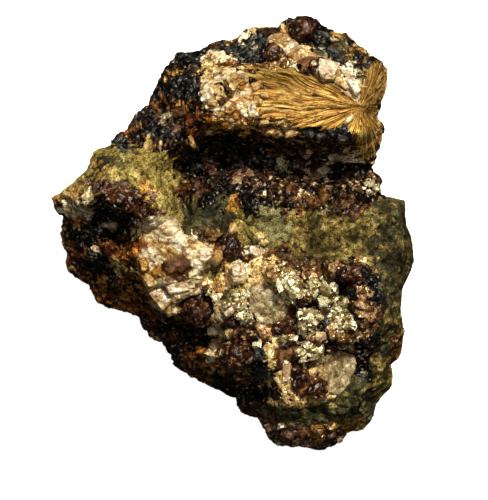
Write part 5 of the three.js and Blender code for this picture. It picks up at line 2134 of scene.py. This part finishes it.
SHARDS = tuple(Shard(*row) for row in (
    (M.CHALK, 17.6, 30.6, 3.6, 2.4, 1.4, -12, 10, 0.1),  # the bright rhomb under the crown
    (M.CHALK, 3.7, 23.0, 1.9, 4.0, 3.4, 18, 0, 0.25),  # the shard at the spray's left end
    (M.CHALK, 21.3, 20.9, 3.0, 0.9, 2.4, 50, 0, 0.15),  # the splinter below the fibres' meeting point
    (M.CHALK, 21.0, 29.4, 4.0, 1.6, 1.2, -50, 0, 0.3), (M.CHALK, 22.3, 27.2, 3.4, 1.7, 1.1, -58, 0, 0.3),
    (M.CREAM, 20.2, 27.6, 3.2, 1.2, 0.9, -38, 0, 0.4), (M.QUARTZ, 19.4, 14.7, 3.4, 2.0, 1.4, 20, 15),
    (M.QUARTZ, 17.1, 12.2, 3.2, 2.0, 1.3, 30, 10), (M.CREAM, 21.4, 16.0, 1.4, 1.8, 1.0, -20),
    (M.TAN, -7.7, 17.9, 1.1, 3.8, 1.0, 24, 0, 0.6), (M.BROWN, -9.2, 22.8, 3.6, 2.0, 1.3, 12, 12, 0.55),
    (M.MAUVE, -4.0, 14.0, 3.4, 1.2, 1.0, -30), (M.CHALK, -2.9, 33.2, 3.4, 2.4, 1.0, 10, 0, 0.5),
    (M.CHALK, 1.0, -6.6, 3.0, 3.0, 1.5, 15, -8, 0.3), (M.CHALK, 10.2, -25.6, 1.7, 3.8, 1.2, 4, 0, 0.2),
    (M.CHALK, -10.2, -9.6, 4.4, 2.4, 1.2, 10, 5, 0.2), (M.CREAM, -15.4, -8.2, 4.8, 3.0, 3.2, -62, 0, 0.4),
    (M.CHALK, -13.2, -11.6, 5.4, 3.8, 3.6, -50, 0, 0.3), (M.CREAM, -11.4, -13.6, 3.6, 2.6, 3.0, 30, 0, 0.4),
    (M.OCHRE, -16.4, -5.4, 3.4, 2.2, 2.4, -70, 0, 0.4), (M.CREAM, 0.0, 1.2, 2.6, 2.2, 1.1, 20, 0, 0.7),
    (M.CHALK, -27.3, 7.2, 1.8, 2.0, 1.0, 40, 0, 0.4), (M.QUARTZ, -31.0, 5.2, 2.2, 2.0, 1.0, -30, 0, 0.5),
    (M.QUARTZ, -23.6, 1.9, 3.8, 1.6, 1.2, -6, 0, 0.4), (M.CHALK, -25.8, -2.6, 1.9, 1.4, 0.9, 0, 0, 0.4),
    (M.BRONZE, 5.6, -17.8, 2.0, 4.0, 1.4, 32, 0, 0.3), (M.RED_BROWN, 9.6, -16.6, 4.2, 1.8, 1.4, 38, 10, 0.5),
    (M.QUARTZ, 14.8, -20.0, 2.6, 2.0, 1.2, -30, 10), (M.BRASS, 14.4, -22.4, 4.2, 2.2, 1.3, 8, 6, 0.2),
    (M.BRASS, 13.0, -24.2, 2.4, 1.4, 1.0, -14, 0, 0.2), (M.BRASS, 16.0, -21.2, 2.2, 1.6, 1.2, -8, -4, 0.1),
    (M.BRASS, 12.7, -21.6, 2.2, 1.6, 1.2, 22, 4, 0.1), (M.CHALK, 4.4, -3.0, 3.0, 1.8, 1.0, -16, 0, 0.3),
    (M.CHALK, -3.4, -17.8, 3.0, 1.8, 1.0, 8, 0, 0.3),
    (M.CREAM, 4.6, 27.4, 2.6, 1.7, 2.6, 30, 0, 0.4),  # the crumbs that break up the spray's left end
    (M.CREAM, 6.2, 25.6, 2.2, 1.3, 2.4, -20, 0, 0.5), (M.OCHRE, 5.4, 22.4, 2.0, 1.3, 2.4, 60, 0, 0.5),
    (M.CREAM, 6.0, 20.6, 2.4, 1.4, 2.4, 10, 0, 0.4), (M.OCHRE, 7.6, 21.6, 1.5, 0.9, 2.2, -35, 0, 0.5),
    (M.CREAM, 5.2, 24.4, 1.5, 1.1, 2.4, 70, 0, 0.5),
    (M.TAN, 7.6, 19.2, 4.4, 1.9, 1.2, -6, 0, 0.5),  # the lip under the spray
    (M.CREAM, 11.4, 19.0, 3.2, 1.6, 1.0, 12, 0, 0.5), (M.AMPHIBOLE, 14.2, 19.0, 2.4, 1.9, 0.8, -34, 0, 0.2),
    (M.STEEL, 16.4, 18.4, 2.2, 1.6, 0.8, 24, 10, 0.2), (M.AMPHIBOLE, 18.4, 18.8, 2.3, 1.5, 0.9, -50, 0, 0.3),
    (M.STEEL, 20.4, 17.9, 2.2, 1.8, 0.8, 12, -8, 0.2),
    (M.BRONZE, 7.6, -36.6, 2.6, 1.8, 1.6, 20, 0, 0.5),  # the granular foot
    (M.MAUVE, 10.6, -37.6, 2.8, 2.0, 1.6, -30, 0, 0.5), (M.BRASS, 9.4, -35.9, 1.9, 1.3, 1.0, 10, 0, 0.4),
    (M.RED_BROWN, 13.6, -37.4, 2.8, 1.8, 1.6, 40, 0, 0.5),
    (M.BRONZE, 16.2, -37.0, 2.6, 1.7, 1.4, -10, 0, 0.5), (M.BRONZE, 12.4, -39.0, 2.2, 1.6, 1.4, 60, 0, 0.5),
    (M.MAUVE, 18.6, -37.8, 2.2, 1.8, 1.4, 15, 0, 0.5),
))


@dataclass
class Shards:
    """The single crystals on the faces of the specimen.

    Attributes:
        slots: The slot of each mineral that isn't the rock's own.
        footing: Reach within which a crystal's face is felt for.
        perch: How high on that face it stands, as a share of its points that lie lower.
        light: How many of their small faces stay.
        seed: Starting point.
    """

    slots: dict[Mineral, str] = field(default_factory=lambda: {
        M.CHALK: "calcite", M.CREAM: "calcite", M.QUARTZ: "quartz", M.BRASS: "arsenopyrite",
        M.BRONZE: "arsenopyrite"})
    footing: float = 0.8
    perch: float = 0.8
    light: float = 0.5
    seed: int = 31

    def solid(self, shard: Shard, foot: float, seed: int) -> Mesh:
        """Makes one crystal.

        Args:
            shard: Its sizes.
            foot: Height of the face that it stands on.
            seed: Starting point of its small flaws.

        Returns:
            The crystal.
        """
        picks = np.random.default_rng(seed)
        corners = []
        turn = math.radians(shard.bearing)
        for end in (-1, 1):
            for side in (-1, 1):
                for level in (-1, 0.2, 1):
                    inner = 1 - shard.taper * max(level, 0)
                    x = end * shard.length / 2 * inner * picks.uniform(0.6, 1.12)
                    y = side * shard.width / 2 * inner * picks.uniform(0.6, 1.12)
                    z = level * shard.height / 2 * picks.uniform(0.7, 1.1)
                    z += x * math.tan(math.radians(shard.lean)) * (level > 0)
                    corners.append((shard.x + x * math.cos(turn) - y * math.sin(turn),
                                    shard.y + x * math.sin(turn) + y * math.cos(turn), foot + z))
        return hull("shard", corners, MM)

    def make(self, slot: str, breakage: Breakage, material: Material, ground: Ground) -> None:
        """Builds, dresses and fixes the crystals of one slot.

        Args:
            slot: The slot.
            breakage: How the crystals' faces are flawed.
            material: Their finish.
            ground: The faces that they stand on.
        """
        slots = [self.slots.get(shard.mineral, "skarn") for shard in SHARDS]
        own = [(number, shard) for number, shard in enumerate(SHARDS) if slots[number] == slot]
        shells = []
        for number, shard in own:
            away = np.hypot(ground.points[:, 0] - shard.x, ground.points[:, 1] - shard.y)
            near = away < self.footing
            foot = np.quantile(ground.points[near & ground.open, 2], self.perch) + shard.height * 0.05
            shells.append(self.solid(shard, foot, number))
        mass = breakage.broken(joined(shells, slot + "_shards"), self.seed)
        places = np.array([(shard.x, shard.y) for _, shard in own])
        nearest = np.linalg.norm(mass.points[:, None, :2] - places[None], axis=2).argmin(axis=1)
        chosen = np.array([NUMBERS[shard.mineral] for _, shard in own])[nearest]
        breakage.dress(mass, chosen, self.seed)
        finish_piece(new_object(slot + "_shards", thinned(mass.mesh, self.light)), material)


CHALKY = (M.CHALK, M.CREAM, M.QUARTZ, M.TAN)
DARK = (M.AMPHIBOLE, M.STEEL, M.BLACK)
EARTHY = (M.BROWN, M.RED_BROWN, M.MAUVE, M.RUST, M.OCHRE, M.SKARN, M.OLIVE_YELLOW)
METALS = (M.BRONZE, M.BRASS)

SCATTERS = (
    GrainScatter("calcite_rhombs", "calcite", CHALKY, RHOMBS, (0.8, 1.8), 1.1, 25, 0.2, 0.36, 11),
    GrainScatter("calcite_crumbs", "calcite", CHALKY, CHIPS, (0.35, 0.9), 0.55, 60, 0.5, 0.16, 12),
    GrainScatter("amphibole_prisms", "skarn", DARK, PRISMS, (0.6, 1.4), 0.8, 26, 0.5, 0.16, 13),
    GrainScatter("dark_crumbs", "skarn", DARK, CHIPS, (0.3, 0.8), 0.6, 60, 0.6, 0.16, 14),
    GrainScatter("brown_grains", "skarn", EARTHY, CHIPS, (0.8, 2.0), 1.1, 60, 0.5, 0.4, 15),
    GrainScatter("brown_crumbs", "skarn", EARTHY, CHIPS, (0.3, 0.8), 0.6, 60, 0.6, 0.16, 16),
    GrainScatter("brassy_crystals", "arsenopyrite", METALS, WEDGES, (1.3, 2.8), 1.2, 40, 1.0, 0.3, 17),
    GrainScatter("brassy_crumbs", "arsenopyrite", METALS, WEDGES, (0.5, 1.2), 0.6, 60, 1.0, 0.14, 18),
)

STAINS = (M.RUST, M.OCHRE, M.BROWN, M.OLIVE_YELLOW, M.BLACK, M.AMPHIBOLE, M.SAGE)
CLEAVED = Relief((3.6, 2.4, 2.8), 400, 0.8)
BREAKAGES = {
    "calcite": Breakage(
        (M.CHALK, M.CREAM, M.CHALK, M.CREAM), CLEAVED, Relief((1.2, 0.9, 1.0), 420, 0.6), voxel=0.18,
        grow=0.2, stain=0.6, facets=0.09, patches=STAINS, pile=Pile(RHOMBS, (1.3, 3.0), 1.5, 26, 0.3)),
    "calcite_ledge": Breakage(
        (M.CHALK, M.CHALK, M.CHALK, M.CREAM), CLEAVED, Relief((1.3, 0.9, 1.1), 420, 0.55), voxel=0.2,
        grow=0.25, stain=0.6, crack_shade=0.3, facets=0.08, patches=STAINS,
        pile=Pile(RHOMBS + CHIPS[:1], (2.0, 5.0), 2.4, 10, 0.38)),
    "calcite_upper": Breakage(
        (M.CREAM, M.CHALK, M.CHALK, M.CREAM), Relief((3.4, 2.6, 2.8), 400, 0.6),
        Relief((1.1, 0.8, 1.0), 420, 0.8), voxel=0.18, grow=0.05, stain=0.55, facets=0.1, patches=STAINS,
        pile=Pile(RHOMBS, (1.3, 2.9), 1.25, 34, 0.34)),
    "quartz": Breakage(
        (M.QUARTZ,), Relief(3.0, 400, 0.8), Relief(1.1, 420, 0.4), stain=0.25, crack_shade=0.3,
        patches=(M.BLACK, M.STEEL), pile=Pile(CHIPS, (2.0, 3.4), 2.6, 40, 0.25)),
    "garnet": Breakage(
        (M.GARNET,), Relief(2.9, 400, 0.6), Relief(1.1, 420, 0.3), voxel=0.18, grow=0.0, stain=0.2,
        crack_shade=0.5, facets=0.08, pile=Pile(CHIPS, (1.6, 3.4), 1.7, 60, 0.2)),
    "arsenopyrite": Breakage(
        (M.BROWN, M.BRONZE, M.RED_BROWN, M.BLACK, M.BRONZE), Relief(2.4, 400, 1.2),
        Relief(1.1, 420, 0.5), grow=0.0, seam=0.15, stain=0.1, crack_shade=0.7, facets=0.12, patches=MINERALS,
        pile=Pile(WEDGES + RHOMBS, (1.3, 2.9), 1.35, 45, 0.0)),
    "skarn": Breakage((M.BROWN,), Relief(2.6, 400, 0.9), Relief(0.9, 420, 0.3), stain=0.2, crack_shade=0.4),
}


def main() -> None:
    """Builds the studio and the specimen, piece by piece."""
    logging.basicConfig(level=logging.INFO, format="%(name)s: %(message)s", stream=sys.stdout)
    Studio().build()
    ground = Ground()
    stone = StoneFinish("broken_stone", specular=0.16, painted_glints=0.8).material()
    finishes = {
        "skarn": stone,
        "calcite": StoneFinish("cleaved_calcite", contrast=0.55, specular=0.25).material(),
        "quartz": StoneFinish("greasy_quartz", contrast=0.65).material(),
        "garnet": StoneFinish(
            "resinous_garnet", contrast=0.7, bump=0.06, specular=0.25, painted_glints=0.5).material(),
        "arsenopyrite": StoneFinish("brassy_sulphide", contrast=0.6, bump=0.05, crumple=0.18).material(),
    }
    RockBody().make(stone, ground)
    FibreSpray().make(StoneFinish("fibrous_stone", contrast=0.45, bump=0.05).material(), ground.skin)
    for number, name in enumerate(sorted(frame["nodes"])):
        family = name.split("_")[0]
        if family in finishes and name != ROCK:
            breakage = BREAKAGES.get(name, BREAKAGES[family])
            SetMineral(name, family, breakage, number).make(finishes[family], ground)
    ground.close()
    for slot in ("calcite", "quartz", "arsenopyrite", "skarn"):
        Shards().make(slot, BREAKAGES[slot].softer(), finishes[slot], ground)
    for scatter in SCATTERS:
        scatter.make(ground, finishes[scatter.slot])
    bpy.data.meshes.remove(ground.mesh)
    write_sizes()


if __name__ == "__main__":
    main()
